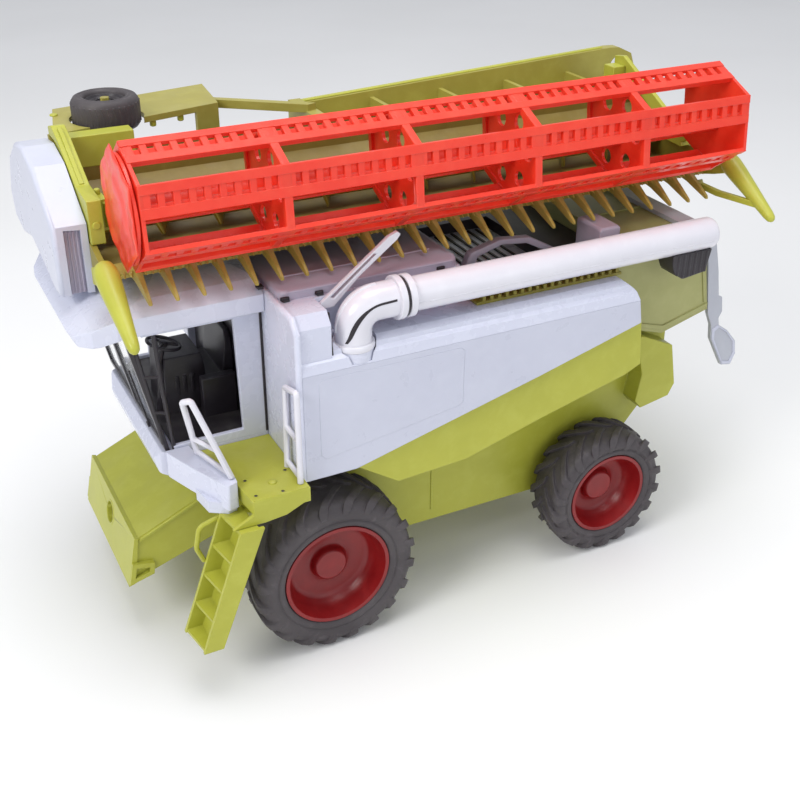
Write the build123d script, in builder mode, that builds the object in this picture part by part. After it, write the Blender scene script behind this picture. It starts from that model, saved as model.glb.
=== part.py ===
from build123d import *
import os
from math import cos, sin, radians, degrees, atan2, hypot, pi

os.makedirs("parts", exist_ok=True)

# ---------------------------------------------------------------------------
# Toy combine harvester, about 1:20, all sizes in millimetres.
# +X is forward, +Y is the machine's left, +Z is up, the floor is Z = 0.
# The cutting header lies lengthwise on the roof, its cutting edge to the left.
# ---------------------------------------------------------------------------

SHIFT_X = 8.0          # puts the middle of the footprint on the origin
SHIFT_Y = -2.5

# running gear
FRONT_X, FRONT_R, FRONT_W, FRONT_OUT = 93.0, 50.0, 40.0, 112.0
REAR_X, REAR_R, REAR_W, REAR_OUT = -100.0, 42.5, 32.0, 104.5
FRONT_RIM_R, REAR_RIM_R = 32.0, 27.5
AXLE_R = 2.5
HUB_FACE = -12.6       # hub cap, from the outer face of the tyre
RUN = 0.06             # radial clearance of everything that turns on a pin

# body
BODY_HALF = 107.0      # outside of the white side panels
PANEL_T = 3.0
CHASSIS_HALF = 68.0
REAR_BOX_HALF = 81.0
FRONT_WALL_X, WALL_T = 109.0, 3.0
DECK_TOP, DECK_T = 122.5, 8.5
SHOULDER = 180.0       # top of the side panels, where the body starts to round inwards
TANK_REAR_X, TANK_HALF, TANK_TOP = 2.0, 83.0, 211.5

# cab
CAB_HALF, CAB_T = 59.5, 3.0
CAB_REAR_X = 112.2
ROOF_BOTTOM = 201.0

# feeder pivot
PIVOT_X, PIVOT_Z, PIVOT_R = 133.0, 78.0, 3.0

# unloading auger
UNLOADER_X, UNLOADER_Y, UNLOADER_Z, UNLOADER_R = 75.0, 96.0, 209.0, 9.4
COLUMN_R = 12.0

# header
HEAD_LEFT_X, HEAD_RIGHT_X = 191.0, -194.0      # outer faces of its end plates
PLATE_T = 3.0
COVER_T = 18.0
REEL_Y, REEL_Z, REEL_R = 64.0, 268.0, 32.3
REEL_LEFT_X, REEL_RIGHT_X, REEL_PLATES = 178.0, -181.0, 6
BAT_W, BAT_T = 16.0, 2.0
REEL_TURN, DRUM_R = 36.0, 8.0
ARM_X, ARM_T = REEL_LEFT_X + 5.0, 7.4
SCREW_Y, SCREW_Z, SCREW_R = 0.0, 240.0, 12.5
FLIGHTS, FLIGHT_FIRST_X, FLIGHT_PITCH = 12, -178.7, 32.5
TROUGH_R, SHEET = 14.5, 2.5
WALL_Y = -34.5         # outer face of the trough's rear wall
WALL_TOP, FLANGE_TOP = 266.5, 276.8
EYE_X, EYE_Z, EYE_R = -213.5, 264.0, 7.0
CARRIAGE_X, CARRIAGE_Y, CARRIAGE_Z, CARRIAGE_R, CARRIAGE_W = 152.0, -71.0, 268.9, 19.5, 18.7


def across(y):
    """Upright plane across the machine's side at this Y; its normal points to -Y."""
    return Plane(origin=(SHIFT_X, SHIFT_Y + y, 0), x_dir=(1, 0, 0), z_dir=(0, -1, 0))


def along(x):
    """Upright plane square to the machine's length at this X; its normal points to +X."""
    return Plane(origin=(SHIFT_X + x, SHIFT_Y, 0), x_dir=(0, 1, 0), z_dir=(1, 0, 0))


def level(z):
    """Level plane at this height; its normal points up."""
    return Plane(origin=(SHIFT_X, SHIFT_Y, z), x_dir=(1, 0, 0), z_dir=(0, 0, 1))


HERE = Plane(origin=(SHIFT_X, SHIFT_Y, 0))


def keep(builder, name):
    builder.part.label = name
    export_step(builder.part, "parts/" + name + ".step")


# ---------------------------------------------------------------------------
# Wheels and axles
# ---------------------------------------------------------------------------
# name, x, tyre radius, tyre width, outer face |y|, rim radius, side (+1 left)
WHEELS = [
    ("front_left", FRONT_X, FRONT_R, FRONT_W, FRONT_OUT, FRONT_RIM_R, 1),
    ("front_right", FRONT_X, FRONT_R, FRONT_W, FRONT_OUT, FRONT_RIM_R, -1),
    ("rear_left", REAR_X, REAR_R, REAR_W, REAR_OUT, REAR_RIM_R, 1),
    ("rear_right", REAR_X, REAR_R, REAR_W, REAR_OUT, REAR_RIM_R, -1),
]
for wheel_name, wx, tyre_r, tyre_w, y_out, rim_r, side in WHEELS:
    # the wheel is turned about its own axis: local x is the radius, local y runs outward
    turned = Plane(origin=(SHIFT_X + wx, SHIFT_Y + side * (y_out - tyre_w), tyre_r),
                   x_dir=(1, 0, 0), z_dir=(0, 0, side))
    with BuildPart() as tyre:
        with BuildSketch(turned) as tyre_section:
            with BuildLine():
                Polyline((rim_r, 3.5), (rim_r + 5, 1.2), (tyre_r - 7, 0.6), (tyre_r, 4.5),
                         (tyre_r, tyre_w - 4.5), (tyre_r - 7, tyre_w - 0.6), (rim_r + 5, tyre_w - 1.2),
                         (rim_r, tyre_w - 3.5), (rim_r, 3.5))
            make_face()
        revolve(axis=Axis((SHIFT_X + wx, SHIFT_Y, tyre_r), (0, 1, 0)), revolution_arc=360)
    keep(tyre, "tyre_" + wheel_name)
    with BuildPart() as rim:
        with BuildSketch(turned) as rim_section:
            with BuildLine():
                Polyline((AXLE_R + RUN, 2.0), (9.5, 2.0), (9.5, tyre_w - 21), (rim_r - 3.2, tyre_w - 23),
                         (rim_r - 3.2, 4.5), (rim_r, 4.5), (rim_r, tyre_w - 2.4), (rim_r - 2.2, tyre_w - 2.4),
                         (rim_r - 4.5, tyre_w - 12), (rim_r - 7.5, tyre_w - 17), (14, tyre_w - 18.5), (11, tyre_w - 18),
                         (9.9, tyre_w - 13.2), (9.0, HUB_FACE + tyre_w), (0, HUB_FACE + tyre_w), (0, tyre_w - 15.8),
                         (AXLE_R + RUN, tyre_w - 15.8), (AXLE_R + RUN, 2.0))
            make_face()
        revolve(axis=Axis((SHIFT_X + wx, SHIFT_Y, tyre_r), (0, 1, 0)), revolution_arc=360)
    keep(rim, "rim_" + wheel_name)

# name, x, height, half length
AXLES = [("front_axle", FRONT_X, FRONT_R, FRONT_OUT - 16.4),
         ("rear_axle", REAR_X, REAR_R, REAR_OUT - 16.4)]
for axle_name, ax, az, half in AXLES:
    with BuildPart() as axle:
        with BuildSketch(across(0)):
            with Locations((ax, az)):
                Circle(AXLE_R)
        extrude(amount=half, both=True)
    keep(axle, axle_name)

# ---------------------------------------------------------------------------
# Lower body
# ---------------------------------------------------------------------------
with BuildPart() as chassis:
    with BuildSketch(across(0)):
        with BuildLine():
            Polyline((124, 62), (124, 104), (60, 104), (60, 116), (-70, 134), (-104, 146), (-132, 150),
                     (-160, 139), (-160, 98), (-132, 64), (-70, 36), (64, 36), (104, 44), (124, 62))
        make_face()
    extrude(amount=CHASSIS_HALF, both=True)
    with BuildSketch(across(0)):
        with Locations((FRONT_X, FRONT_R), (REAR_X, REAR_R)):
            Circle(AXLE_R)
    extrude(amount=CHASSIS_HALF + 1, both=True, mode=Mode.SUBTRACT)
    # wide box behind the rear wheels
    with BuildSketch(across(0)):
        with BuildLine():
            Polyline((-126.7, 139), (-131.7, 139), (-156, 127.5), (-162, 98), (-157.9, 90), (-136, 86), (-131, 92), (-134, 111), (-126.7, 139))
        make_face()
    extrude(amount=REAR_BOX_HALF, both=True)
    # ears that carry the feeder's pins: y of the outer face
    for ear_y in (55.0, -50.0):
        with BuildSketch(across(ear_y)):
            with BuildLine():
                Polyline((122, 68), (133, 71), (140, 78), (133, 85), (122, 90), (122, 68))
            make_face()
            with Locations((PIVOT_X, PIVOT_Z)):
                Circle(PIVOT_R + RUN, mode=Mode.SUBTRACT)
        extrude(amount=5.0)
keep(chassis, "chassis")

# side, name ending
SIDES = [(1, "left"), (-1, "right")]
for side, ending in SIDES:
    with BuildPart() as skirt:
        with BuildSketch(across(side * (BODY_HALF - PANEL_T))):
            with BuildLine():
                Polyline((79, 121), (79, 116.6), (52, 98.5), (8, 101), (-38, 114), (-101, 130),
                         (-112, 135), (-109, 166), (-37, 149), (79, 121))
            make_face()
        extrude(amount=side * PANEL_T)
    keep(skirt, "skirt_" + ending)

    with BuildPart() as panel:
        with BuildSketch(across(side * BODY_HALF)):
            with BuildLine():
                Polyline((FRONT_WALL_X, 116.5), (FRONT_WALL_X, SHOULDER), (-104, SHOULDER),
                         (-106.5, 165), (-37, 146), (79, 116.6), (FRONT_WALL_X, 116.5))
            make_face()
        extrude(amount=side * PANEL_T)
    keep(panel, "side_panel_" + ending)

# body between the panels: core, rounded shoulders, raised tank with the front housing
with BuildPart() as grain_tank:
    with BuildSketch(across(0)):
        with BuildLine():
            Polyline((FRONT_WALL_X, 124), (FRONT_WALL_X, SHOULDER), (-103.5, SHOULDER), (-104, 165),
                     (-37, 149.5), (79, 121.5), (FRONT_WALL_X, 124))
        make_face()
    extrude(amount=BODY_HALF - 2 * PANEL_T, both=True)
    with BuildSketch(across(0)):
        with BuildLine():
            Polyline((60, 130), (60, 116.2), (-70, 134.2), (-104, 146.2), (-104, 175), (60, 130))
        make_face()
    extrude(amount=84.0, both=True)
    with BuildSketch(along(-104)):
        with BuildLine():
            Polyline((-BODY_HALF, SHOULDER), (-105.8, 185.5), (-103.2, 187.2), (-102.6, 189.6), (-98, 191.5),
                     (98, 191.5), (102.6, 189.6), (103.2, 187.2), (105.8, 185.5), (BODY_HALF, SHOULDER),
                     (-BODY_HALF, SHOULDER))
        make_face()
    extrude(amount=104 + FRONT_WALL_X)
    # rounded rear end of the shoulders
    with BuildSketch(across(0)):
        with BuildLine():
            Polyline((-110, SHOULDER), (-104.2, SHOULDER), (-101, 187), (-95, 192), (-110, 192), (-110, SHOULDER))
        make_face()
    extrude(amount=BODY_HALF + 1, both=True, mode=Mode.SUBTRACT)
    # tank
    with BuildSketch(level(191)):
        with Locations(((TANK_REAR_X + FRONT_WALL_X) / 2, 0)):
            RectangleRounded(FRONT_WALL_X - TANK_REAR_X, 2 * TANK_HALF, 5)
    extrude(amount=TANK_TOP - 191)
    # housing in front of the auger's column, both sides
    with BuildSketch(along(91)):
        with BuildLine():
            Polyline((-104.5, SHOULDER), (-104.5, 205), (-99, TANK_TOP), (99, TANK_TOP), (104.5, 205), (104.5, SHOULDER),
                     (-104.5, SHOULDER))
        make_face()
    extrude(amount=FRONT_WALL_X - 91)
    # seat of the auger's column
    with BuildSketch(level(181)):
        with Locations((UNLOADER_X, UNLOADER_Y)):
            Circle(COLUMN_R)
    extrude(amount=40, mode=Mode.SUBTRACT)
keep(grain_tank, "grain_tank")

with BuildPart() as front_wall:
    with BuildSketch(along(FRONT_WALL_X)):
        with BuildLine():
            Polyline((-BODY_HALF, 116.5), (-BODY_HALF, 204), (-100, 212), (100, 212), (BODY_HALF, 204),
                     (BODY_HALF, 116.5), (-BODY_HALF, 116.5))
        make_face()
    extrude(amount=WALL_T)
    fillet(front_wall.faces().sort_by(Axis.X)[-1].edges().sort_by(Axis.Z)[1:], 2.0)
keep(front_wall, "front_wall")

with BuildPart(HERE) as tank_lid:
    with Locations((56, 0, TANK_TOP + 2.5)):
        Box(106, 160, 5)
    fillet(tank_lid.edges().filter_by(Axis.Z), 6)
    fillet(tank_lid.edges().group_by(Axis.Z)[-1], 2.0)
    # raised middle on which the header rests
    with Locations((66, -5, 219.3)):
        Box(60, 50, 5.8)
keep(tank_lid, "tank_lid")

# platform behind the tank with an open well
with BuildPart(HERE) as engine_deck:
    with Locations((-51, 0, 195)):
        Box(105, 156, 7)
    with Locations((-36, 32, 197.5)):
        Box(64, 84, 12, mode=Mode.SUBTRACT)
keep(engine_deck, "engine_deck")

with BuildPart() as deck_arch:
    with BuildSketch(across(60)):
        with BuildLine():
            Polyline((-12, 198.6), (-16, 208), (-36, 213), (-56, 211), (-78, 198.6), (-71, 198.6), (-54, 207.5), (-37, 209.5), (-21, 205),
                     (-19, 198.6), (-12, 198.6))
        make_face()
    extrude(amount=6)
keep(deck_arch, "deck_arch")

with BuildPart(HERE) as air_box:
    with Locations((-96.7, 70, 208.2)):
        Box(14.4, 24, 19.4)
    chamfer(air_box.edges().group_by(Axis.Z)[-1], 1.2)
keep(air_box, "air_box")

with BuildPart() as rear_hood:
    with BuildSketch(across(0)):
        with BuildLine():
            Polyline((-104.4, 150), (-104.4, 208), (-160, 208), (-172, 200), (-182, 147), (-147, 137.5), (-132, 142), (-104.4, 150))
        make_face()
    extrude(amount=80.0, both=True)
    with BuildSketch(across(0)):
        with BuildLine():
            Polyline((-107, 130), (-107, 205), (-159, 205), (-180, 205), (-195, 130), (-107, 130))
        make_face()
    extrude(amount=77.2, both=True, mode=Mode.SUBTRACT)
keep(rear_hood, "rear_hood")

with BuildPart() as rear_panel:
    # outer sheet over the hood's open back
    with BuildSketch(across(0)):
        with BuildLine():
            Polyline((-150, 208.2), (-161.2, 208.2), (-173.6, 201.2), (-178.2, 193.4), (-183.4, 172.6), (-188.2, 146), (-191.2, 146),
                     (-186.3, 173.3), (-181, 194.4), (-176, 203.2), (-162, 211), (-150, 211), (-150, 208.2))
        make_face()
    extrude(amount=80.0, both=True)
    # side walls, which end in a rounded paddle below the hood: y of the outer face, way to the inner face
    for wall_y, wall_way in ((80.0, 1), (-80.0, -1)):
        with BuildSketch(across(wall_y)):
            with BuildLine():
                Polyline((-161.2, 208.8), (-162, 211), (-176, 203.2), (-181, 194.4), (-186.3, 173.3), (-189.8, 155), (-192.9, 153.3),
                         (-194.8, 142.9), (-192.6, 138.4), (-193.9, 133), (-201.6, 127.7), (-210.2, 118), (-212.1, 108.3),
                         (-209.2, 100.7), (-200.9, 102.2), (-188.3, 124.4), (-187, 134.5), (-182.9, 143.5), (-173.6, 200.6),
                         (-161.2, 208.8))
            make_face()
        extrude(amount=2.8 * wall_way)
keep(rear_panel, "rear_panel")

# ---------------------------------------------------------------------------
# Cab
# ---------------------------------------------------------------------------
with BuildPart() as cab_floor:
    with BuildSketch(across(0)):
        with BuildLine():
            Polyline((CAB_REAR_X, 118), (CAB_REAR_X, 124), (166, 124), (173, 126), (177, 120), (175, 112),
                     (168, 109), (160, 112), (CAB_REAR_X, 118))
        make_face()
    extrude(amount=CAB_HALF, both=True)
    # the bumper's ends are rounded in plan
    with BuildSketch(level(100)):
        with BuildLine():
            Polyline((CAB_REAR_X, -CAB_HALF), (150, -CAB_HALF), (166, -56), (174, -47), (178, -32), (178, 50), (174, 57), (168, CAB_HALF),
                     (CAB_REAR_X, CAB_HALF), (CAB_REAR_X, -CAB_HALF))
        make_face()
    extrude(amount=40, mode=Mode.INTERSECT)
keep(cab_floor, "cab_floor")

with BuildPart(HERE) as cab_shell:
    # left and right side walls, rear wall
    with BuildSketch(across(CAB_HALF)):
        with BuildLine():
            Polyline((CAB_REAR_X, 124), (CAB_REAR_X, 201), (178, 201), (166, 124), (CAB_REAR_X, 124))
        make_face()
        with BuildLine():
            Polyline((126.5, 129), (128.0, 197), (182, 197), (182, 129), (126.5, 129))
        make_face(mode=Mode.SUBTRACT)
    extrude(amount=CAB_T)
    with BuildSketch(across(-CAB_HALF + CAB_T)):
        with BuildLine():
            Polyline((CAB_REAR_X, 124), (CAB_REAR_X, 201), (178, 201), (166, 124), (CAB_REAR_X, 124))
        make_face()
        with BuildLine():
            Polyline((121, 127), (121, 197), (143, 197), (143, 127), (121, 127))
        make_face(mode=Mode.SUBTRACT)
        with BuildLine():
            Polyline((147, 127), (147, 197), (174, 197), (163.6, 127), (147, 127))
        make_face(mode=Mode.SUBTRACT)
    extrude(amount=CAB_T)
    with BuildSketch(along(CAB_REAR_X)):
        with Locations((0, 162.5)):
            Rectangle(2 * CAB_HALF, 77)
    extrude(amount=CAB_T)
keep(cab_shell, "cab_shell")

with BuildPart() as cab_roof:
    with BuildSketch(across(0)):
        with BuildLine():
            Polyline((CAB_REAR_X, ROOF_BOTTOM), (CAB_REAR_X, 217), (125, 222.2), (160, 222.2), (182, 215), (201, 206.5), (211, 200.5),
                     (208, 196), (198, 197.5), (188, ROOF_BOTTOM), (CAB_REAR_X, ROOF_BOTTOM))
        make_face()
    extrude(amount=66.0, both=True)
    # crowned across: the sides drop away from the flat middle
    with BuildSketch(along(CAB_REAR_X - 1)):
        with BuildLine():
            Polyline((-66, 190), (-66, 211), (-57, 217), (-36, 222.3), (36, 222.3), (57, 217), (66, 211), (66, 190), (-66, 190))
        make_face()
    extrude(amount=110, mode=Mode.INTERSECT)
    # visor with rounded corners in plan
    with BuildSketch(level(180)):
        with BuildLine():
            Polyline((CAB_REAR_X, -66), (190, -66), (202, -60), (209, -48), (212, -30), (212, 36), (209, 52), (202, 61), (190, 66),
                     (CAB_REAR_X, 66), (CAB_REAR_X, -66))
        make_face()
    extrude(amount=60, mode=Mode.INTERSECT)
keep(cab_roof, "cab_roof")

# windscreen: leans forward towards the roof
WIND_FOOT, WIND_HEAD = (168.6, 126.5), (184.0, 199.5)
wind_len = hypot(WIND_HEAD[0] - WIND_FOOT[0], WIND_HEAD[1] - WIND_FOOT[1])
wind_plane = Plane(origin=(SHIFT_X + (WIND_FOOT[0] + WIND_HEAD[0]) / 2, SHIFT_Y, (WIND_FOOT[1] + WIND_HEAD[1]) / 2),
                   x_dir=(0, 1, 0),
                   z_dir=(WIND_HEAD[1] - WIND_FOOT[1], 0, -(WIND_HEAD[0] - WIND_FOOT[0])))
with BuildPart() as windscreen_frame:
    with BuildSketch(wind_plane):
        Rectangle(2 * CAB_HALF - 2, wind_len)
        with Locations((-28.5, 0), (28.5, 0)):
            Rectangle(51, wind_len - 8, mode=Mode.SUBTRACT)
    extrude(amount=2.5)
keep(windscreen_frame, "windscreen_frame")

with BuildPart() as cab_glass:
    with BuildSketch(wind_plane.offset(0.7)):
        with Locations((-28.5, 0), (28.5, 0)):
            Rectangle(51, wind_len - 8)
    extrude(amount=1.0)
keep(cab_glass, "cab_glass")

with BuildPart(HERE) as cab_seat:
    with Locations((138, 0, 132)):
        Box(26, 34, 16)
    with Locations((128, 0, 154)):
        Box(7, 32, 32)
    with Locations((148, -40, 137)):
        Box(36, 18, 26)
keep(cab_seat, "cab_seat")

with BuildPart() as steering_wheel:
    column_top = (152, 16, 167)
    wheel_plane = Plane(origin=(SHIFT_X + column_top[0], SHIFT_Y + column_top[1], column_top[2]),
                        x_dir=(0, 1, 0), z_dir=(-0.3, 0, 0.95))
    with BuildSketch(wheel_plane):
        Circle(10)
        Circle(8, mode=Mode.SUBTRACT)
        Rectangle(18, 2)
        Circle(2.5)
    extrude(amount=2)
    with BuildSketch(wheel_plane):
        Circle(2)
    extrude(amount=-44.4)
keep(steering_wheel, "steering_wheel")

# ---------------------------------------------------------------------------
# Platform, ladder, rails
# ---------------------------------------------------------------------------
with BuildPart() as deck:
    with BuildSketch(level(DECK_TOP - DECK_T)):
        with BuildLine():
            Polyline((112.2, 60), (112.2, 120.5), (144, 120.5), (146, 99.5), (157.4, 66.5), (158, 60), (112.2, 60))
        make_face()
    extrude(amount=DECK_T)
    # apron above the tyre that carries the ladder
    with BuildSketch(across(120.5)):
        with BuildLine():
            Polyline((144, 114.5), (156.0, 108.2), (138, 108.2), (126, 109.5), (115, 114.5), (144, 114.5))
        make_face()
    extrude(amount=2.0)
keep(deck, "deck")

# ladder with closed back; it stands slightly turned: x shift from the inner to the outer rail
LADDER_TOP_X, LADDER_TOP_Z, LADDER_FOOT_X, LADDER_FOOT_Z = 156.6, 108.0, 182.2, 37.0
LADDER_IN, LADDER_OUT, LADDER_TURN, LADDER_DEEP = 100.8, 124.4, -3.6, 11.0
LADDER_RISE = LADDER_TOP_Z - LADDER_FOOT_Z
with BuildPart() as ladder:
    # y of the outer face, thickness, x shift
    for rail_y, rail_t, rail_dx in ((LADDER_OUT, 2.2, LADDER_TURN), (LADDER_IN + 2.2, 2.2, 0.0)):
        with BuildSketch(across(rail_y)):
            with BuildLine():
                Polyline((LADDER_TOP_X + rail_dx, LADDER_TOP_Z), (LADDER_FOOT_X + rail_dx, LADDER_FOOT_Z),
                         (LADDER_FOOT_X + rail_dx - LADDER_DEEP, LADDER_FOOT_Z),
                         (LADDER_TOP_X + rail_dx - LADDER_DEEP - 2, LADDER_TOP_Z), (LADDER_TOP_X + rail_dx, LADDER_TOP_Z))
            make_face()
        extrude(amount=rail_t)
    for i in range(5):
        tread_z = LADDER_FOOT_Z + (LADDER_RISE - 2.0) * i / 4.0
        tread_x = LADDER_FOOT_X + (LADDER_TOP_X - LADDER_FOOT_X) * (tread_z + 1 - LADDER_FOOT_Z) / LADDER_RISE
        with BuildSketch(level(tread_z)):
            with BuildLine():
                Polyline((tread_x - 0.5, LADDER_IN + 1), (tread_x + LADDER_TURN - 0.5, LADDER_OUT - 1),
                         (tread_x + LADDER_TURN - LADDER_DEEP, LADDER_OUT - 1), (tread_x - LADDER_DEEP, LADDER_IN + 1),
                         (tread_x - 0.5, LADDER_IN + 1))
            make_face()
        extrude(amount=2.0)
    with BuildSketch(across(LADDER_OUT - 1)):
        with BuildLine():
            Polyline((LADDER_TOP_X - 10.6, LADDER_TOP_Z), (LADDER_FOOT_X - 9.0, LADDER_FOOT_Z),
                     (LADDER_FOOT_X - 11.0, LADDER_FOOT_Z), (LADDER_TOP_X - 13.0, LADDER_TOP_Z), (LADDER_TOP_X - 10.6, LADDER_TOP_Z))
        make_face()
    extrude(amount=LADDER_OUT - LADDER_IN - 2)
keep(ladder, "ladder")

with BuildPart() as ladder_loop:
    loop = [Vector(SHIFT_X + x, SHIFT_Y + y, z) for x, y, z in
            ((155.2, 99.3, 105.0), (168, 99.3, 101.0), (170.5, 99.3, 88), (167.0, 99.3, 79.0))]
    with BuildLine() as loop_line:
        FilletPolyline(*loop, radius=5.0)
    with BuildSketch(Plane(origin=loop[0], z_dir=(loop[1] - loop[0]).normalized())):
        Circle(1.4)
    sweep()
keep(ladder_loop, "ladder_loop")

# lamp bar sweeping round the front of the platform
with BuildPart() as light_bar:
    with BuildSketch(level(112.0)):
        with BuildLine():
            Polyline((158.6, 60), (157.9, 67), (146.6, 100), (147.0, 106), (153, 108), (164.5, 81), (171.5, 62), (171.5, 60), (158.6, 60))
        make_face()
    extrude(amount=15.5)
    fillet(light_bar.edges().filter_by(Axis.Z).sort_by(Axis.Y)[-2:], 1.5)
    with BuildSketch(level(108.1)):
        with BuildLine():
            Polyline((147.2, 97), (147.4, 103), (152.5, 104.4), (161.5, 98.5), (163.5, 84), (156, 80), (147.2, 97))
        make_face()
    extrude(amount=7.0)
keep(light_bar, "light_bar")

RAIL_R = 1.7
# name, foot 1, corner 1, corner 2, foot 2; rungs follow as pairs of points
RAILS = [
    ("handrail_front", (157.0, 70, 128.1), (167.0, 88, 171), (163.5, 91, 172.5), (148.6, 101.5, 128.1)),
    ("handrail_rear", (115.4, 96, 122.6), (114.4, 96, 171), (114.4, 112, 175), (115.4, 114.5, 122.7)),
]
RUNGS = [
    ("handrail_front", 0.30, 0.36), ("handrail_front", 0.045, 0.045), ("handrail_rear", 0.52, 0.46), ("handrail_rear", 0.08, 0.06),
]
for rail_name, foot1, corner1, corner2, foot2 in RAILS:
    pts = [Vector(SHIFT_X + p[0], SHIFT_Y + p[1], p[2]) for p in (foot1, corner1, corner2, foot2)]
    with BuildPart() as rail:
        with BuildLine() as rail_line:
            FilletPolyline(*pts, radius=1.6)
        with BuildSketch(Plane(origin=pts[0], z_dir=(pts[1] - pts[0]).normalized())):
            Circle(RAIL_R)
        sweep()
        for rung_rail, up1, up2 in RUNGS:
            if rung_rail == rail_name:
                a = pts[0] + (pts[1] - pts[0]) * up1
                b = pts[3] + (pts[2] - pts[3]) * up2
                with BuildSketch(Plane(origin=a, z_dir=(b - a).normalized())):
                    Circle(RAIL_R * 0.85)
                extrude(amount=(b - a).length)
    keep(rail, rail_name)

with BuildPart() as tank_lever:
    with BuildSketch(across(85.8)):
        with BuildLine():
            Polyline((87, 205.5), (81, 205.5), (66, 220), (44, 236.5), (42, 239.2), (44, 241), (49, 239), (89, 208.5), (87, 205.5))
        make_face()
        with BuildLine():
            Polyline((81, 210.2), (66, 222.4), (56, 230.5), (58, 230.8), (68, 223.2), (83, 211.4), (81, 210.2))
        make_face(mode=Mode.SUBTRACT)
    extrude(amount=2.6)
keep(tank_lever, "tank_lever")

# ---------------------------------------------------------------------------
# Unloading auger: column, elbow and tube turn together about the column
# ---------------------------------------------------------------------------
with BuildPart() as auger_socket:
    with BuildSketch(level(181.0)):
        with Locations((UNLOADER_X, UNLOADER_Y)):
            Circle(COLUMN_R - 0.8)
    extrude(amount=5.6)
keep(auger_socket, "auger_socket")

with BuildPart() as unloader_elbow:
    with BuildLine() as elbow_line:
        FilletPolyline((SHIFT_X + UNLOADER_X, SHIFT_Y + UNLOADER_Y, 187.0),
                       (SHIFT_X + UNLOADER_X, SHIFT_Y + UNLOADER_Y, UNLOADER_Z),
                       (SHIFT_X + UNLOADER_X - 22, SHIFT_Y + UNLOADER_Y, UNLOADER_Z), radius=12.5)
    with BuildSketch(level(187.0)):
        with Locations((UNLOADER_X, UNLOADER_Y)):
            Circle(UNLOADER_R + 0.5)
    sweep()
    with BuildSketch(level(187.0)):
        with Locations((UNLOADER_X, UNLOADER_Y)):
            Circle(11.0)
    extrude(amount=4)
    with BuildSketch(along(UNLOADER_X - 22)):
        with Locations((UNLOADER_Y, UNLOADER_Z)):
            Circle(12)
    extrude(amount=3)
keep(unloader_elbow, "unloader_elbow")

with BuildPart() as unloader_tube:
    with BuildSketch(along(UNLOADER_X - 22)):
        with Locations((UNLOADER_Y, UNLOADER_Z)):
            Circle(12)
    extrude(amount=-3)
    with BuildSketch(along(UNLOADER_X - 25)):
        with Locations((UNLOADER_Y, UNLOADER_Z)):
            Circle(UNLOADER_R)
    extrude(amount=-200)
keep(unloader_tube, "unloader_tube")

with BuildPart() as unloader_spout:
    with BuildSketch(across(UNLOADER_Y)):
        with BuildLine():
            Polyline((-128, 200), (-157, 200), (-154, 188.5), (-137, 185.5), (-130, 190), (-128, 200))
        make_face()
    extrude(amount=7.5, both=True)
    with BuildSketch(along(-170)):
        with Locations((UNLOADER_Y, UNLOADER_Z)):
            Circle(UNLOADER_R)
    extrude(amount=80, mode=Mode.SUBTRACT)
keep(unloader_spout, "unloader_spout")

# ---------------------------------------------------------------------------
# Feeder house
# ---------------------------------------------------------------------------
FEEDER_HALF = 48.5
SOCKET_R, SOCKET_Y, SOCKET_Z = 6.5, 0.0, 57.0
# middle of the socket's mouth on the leaning front face
feeder_face = Plane(origin=(SHIFT_X + 199.2 - (SOCKET_Z - 36.6) * 6.6 / 32.0, SHIFT_Y + SOCKET_Y, SOCKET_Z),
                    x_dir=(0, 1, 0), z_dir=(32.0, 0, 6.6))
with BuildPart() as feeder_house:
    with BuildSketch(across(0)):
        with BuildLine():
            Polyline((198.4, 38), (192.4, 67), (150, 86), (133.5, 93.5), (129, 88), (127.5, PIVOT_Z), (129, 68), (133.5, 60), (198.4, 38))
        make_face()
    extrude(amount=FEEDER_HALF, both=True)
    # its pins turn in the ears of the lower body
    with BuildSketch(across(0)):
        with Locations((PIVOT_X, PIVOT_Z)):
            Circle(PIVOT_R)
    extrude(amount=FEEDER_HALF + 6.5, both=True)
    # lip round the front plate
    with BuildSketch(across(0)):
        with BuildLine():
            Polyline((199.2, 36.6), (192.6, 68.6), (190.2, 68.1), (190.8, 65.2), (194.8, 38), (199.2, 36.6))
        make_face()
    extrude(amount=FEEDER_HALF + 1.3, both=True)
    # round socket in the leaning front plate
    with BuildSketch(feeder_face):
        Circle(SOCKET_R)
    extrude(amount=-12, mode=Mode.SUBTRACT)
    # boxed lugs on both lower front corners
    for lug_y in (FEEDER_HALF + 3.0, -FEEDER_HALF + 0.5):
        with BuildSketch(across(lug_y)):
            with BuildLine():
                Polyline((198.8, 38.5), (195.8, 52.5), (183, 50), (184, 42.5), (198.8, 38.5))
            make_face()
            with BuildLine():
                Polyline((195.2, 42.3), (193.8, 49.2), (186, 47.6), (186.6, 44.2), (195.2, 42.3))
            make_face(mode=Mode.SUBTRACT)
        extrude(amount=3.5)
keep(feeder_house, "feeder_house")

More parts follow.
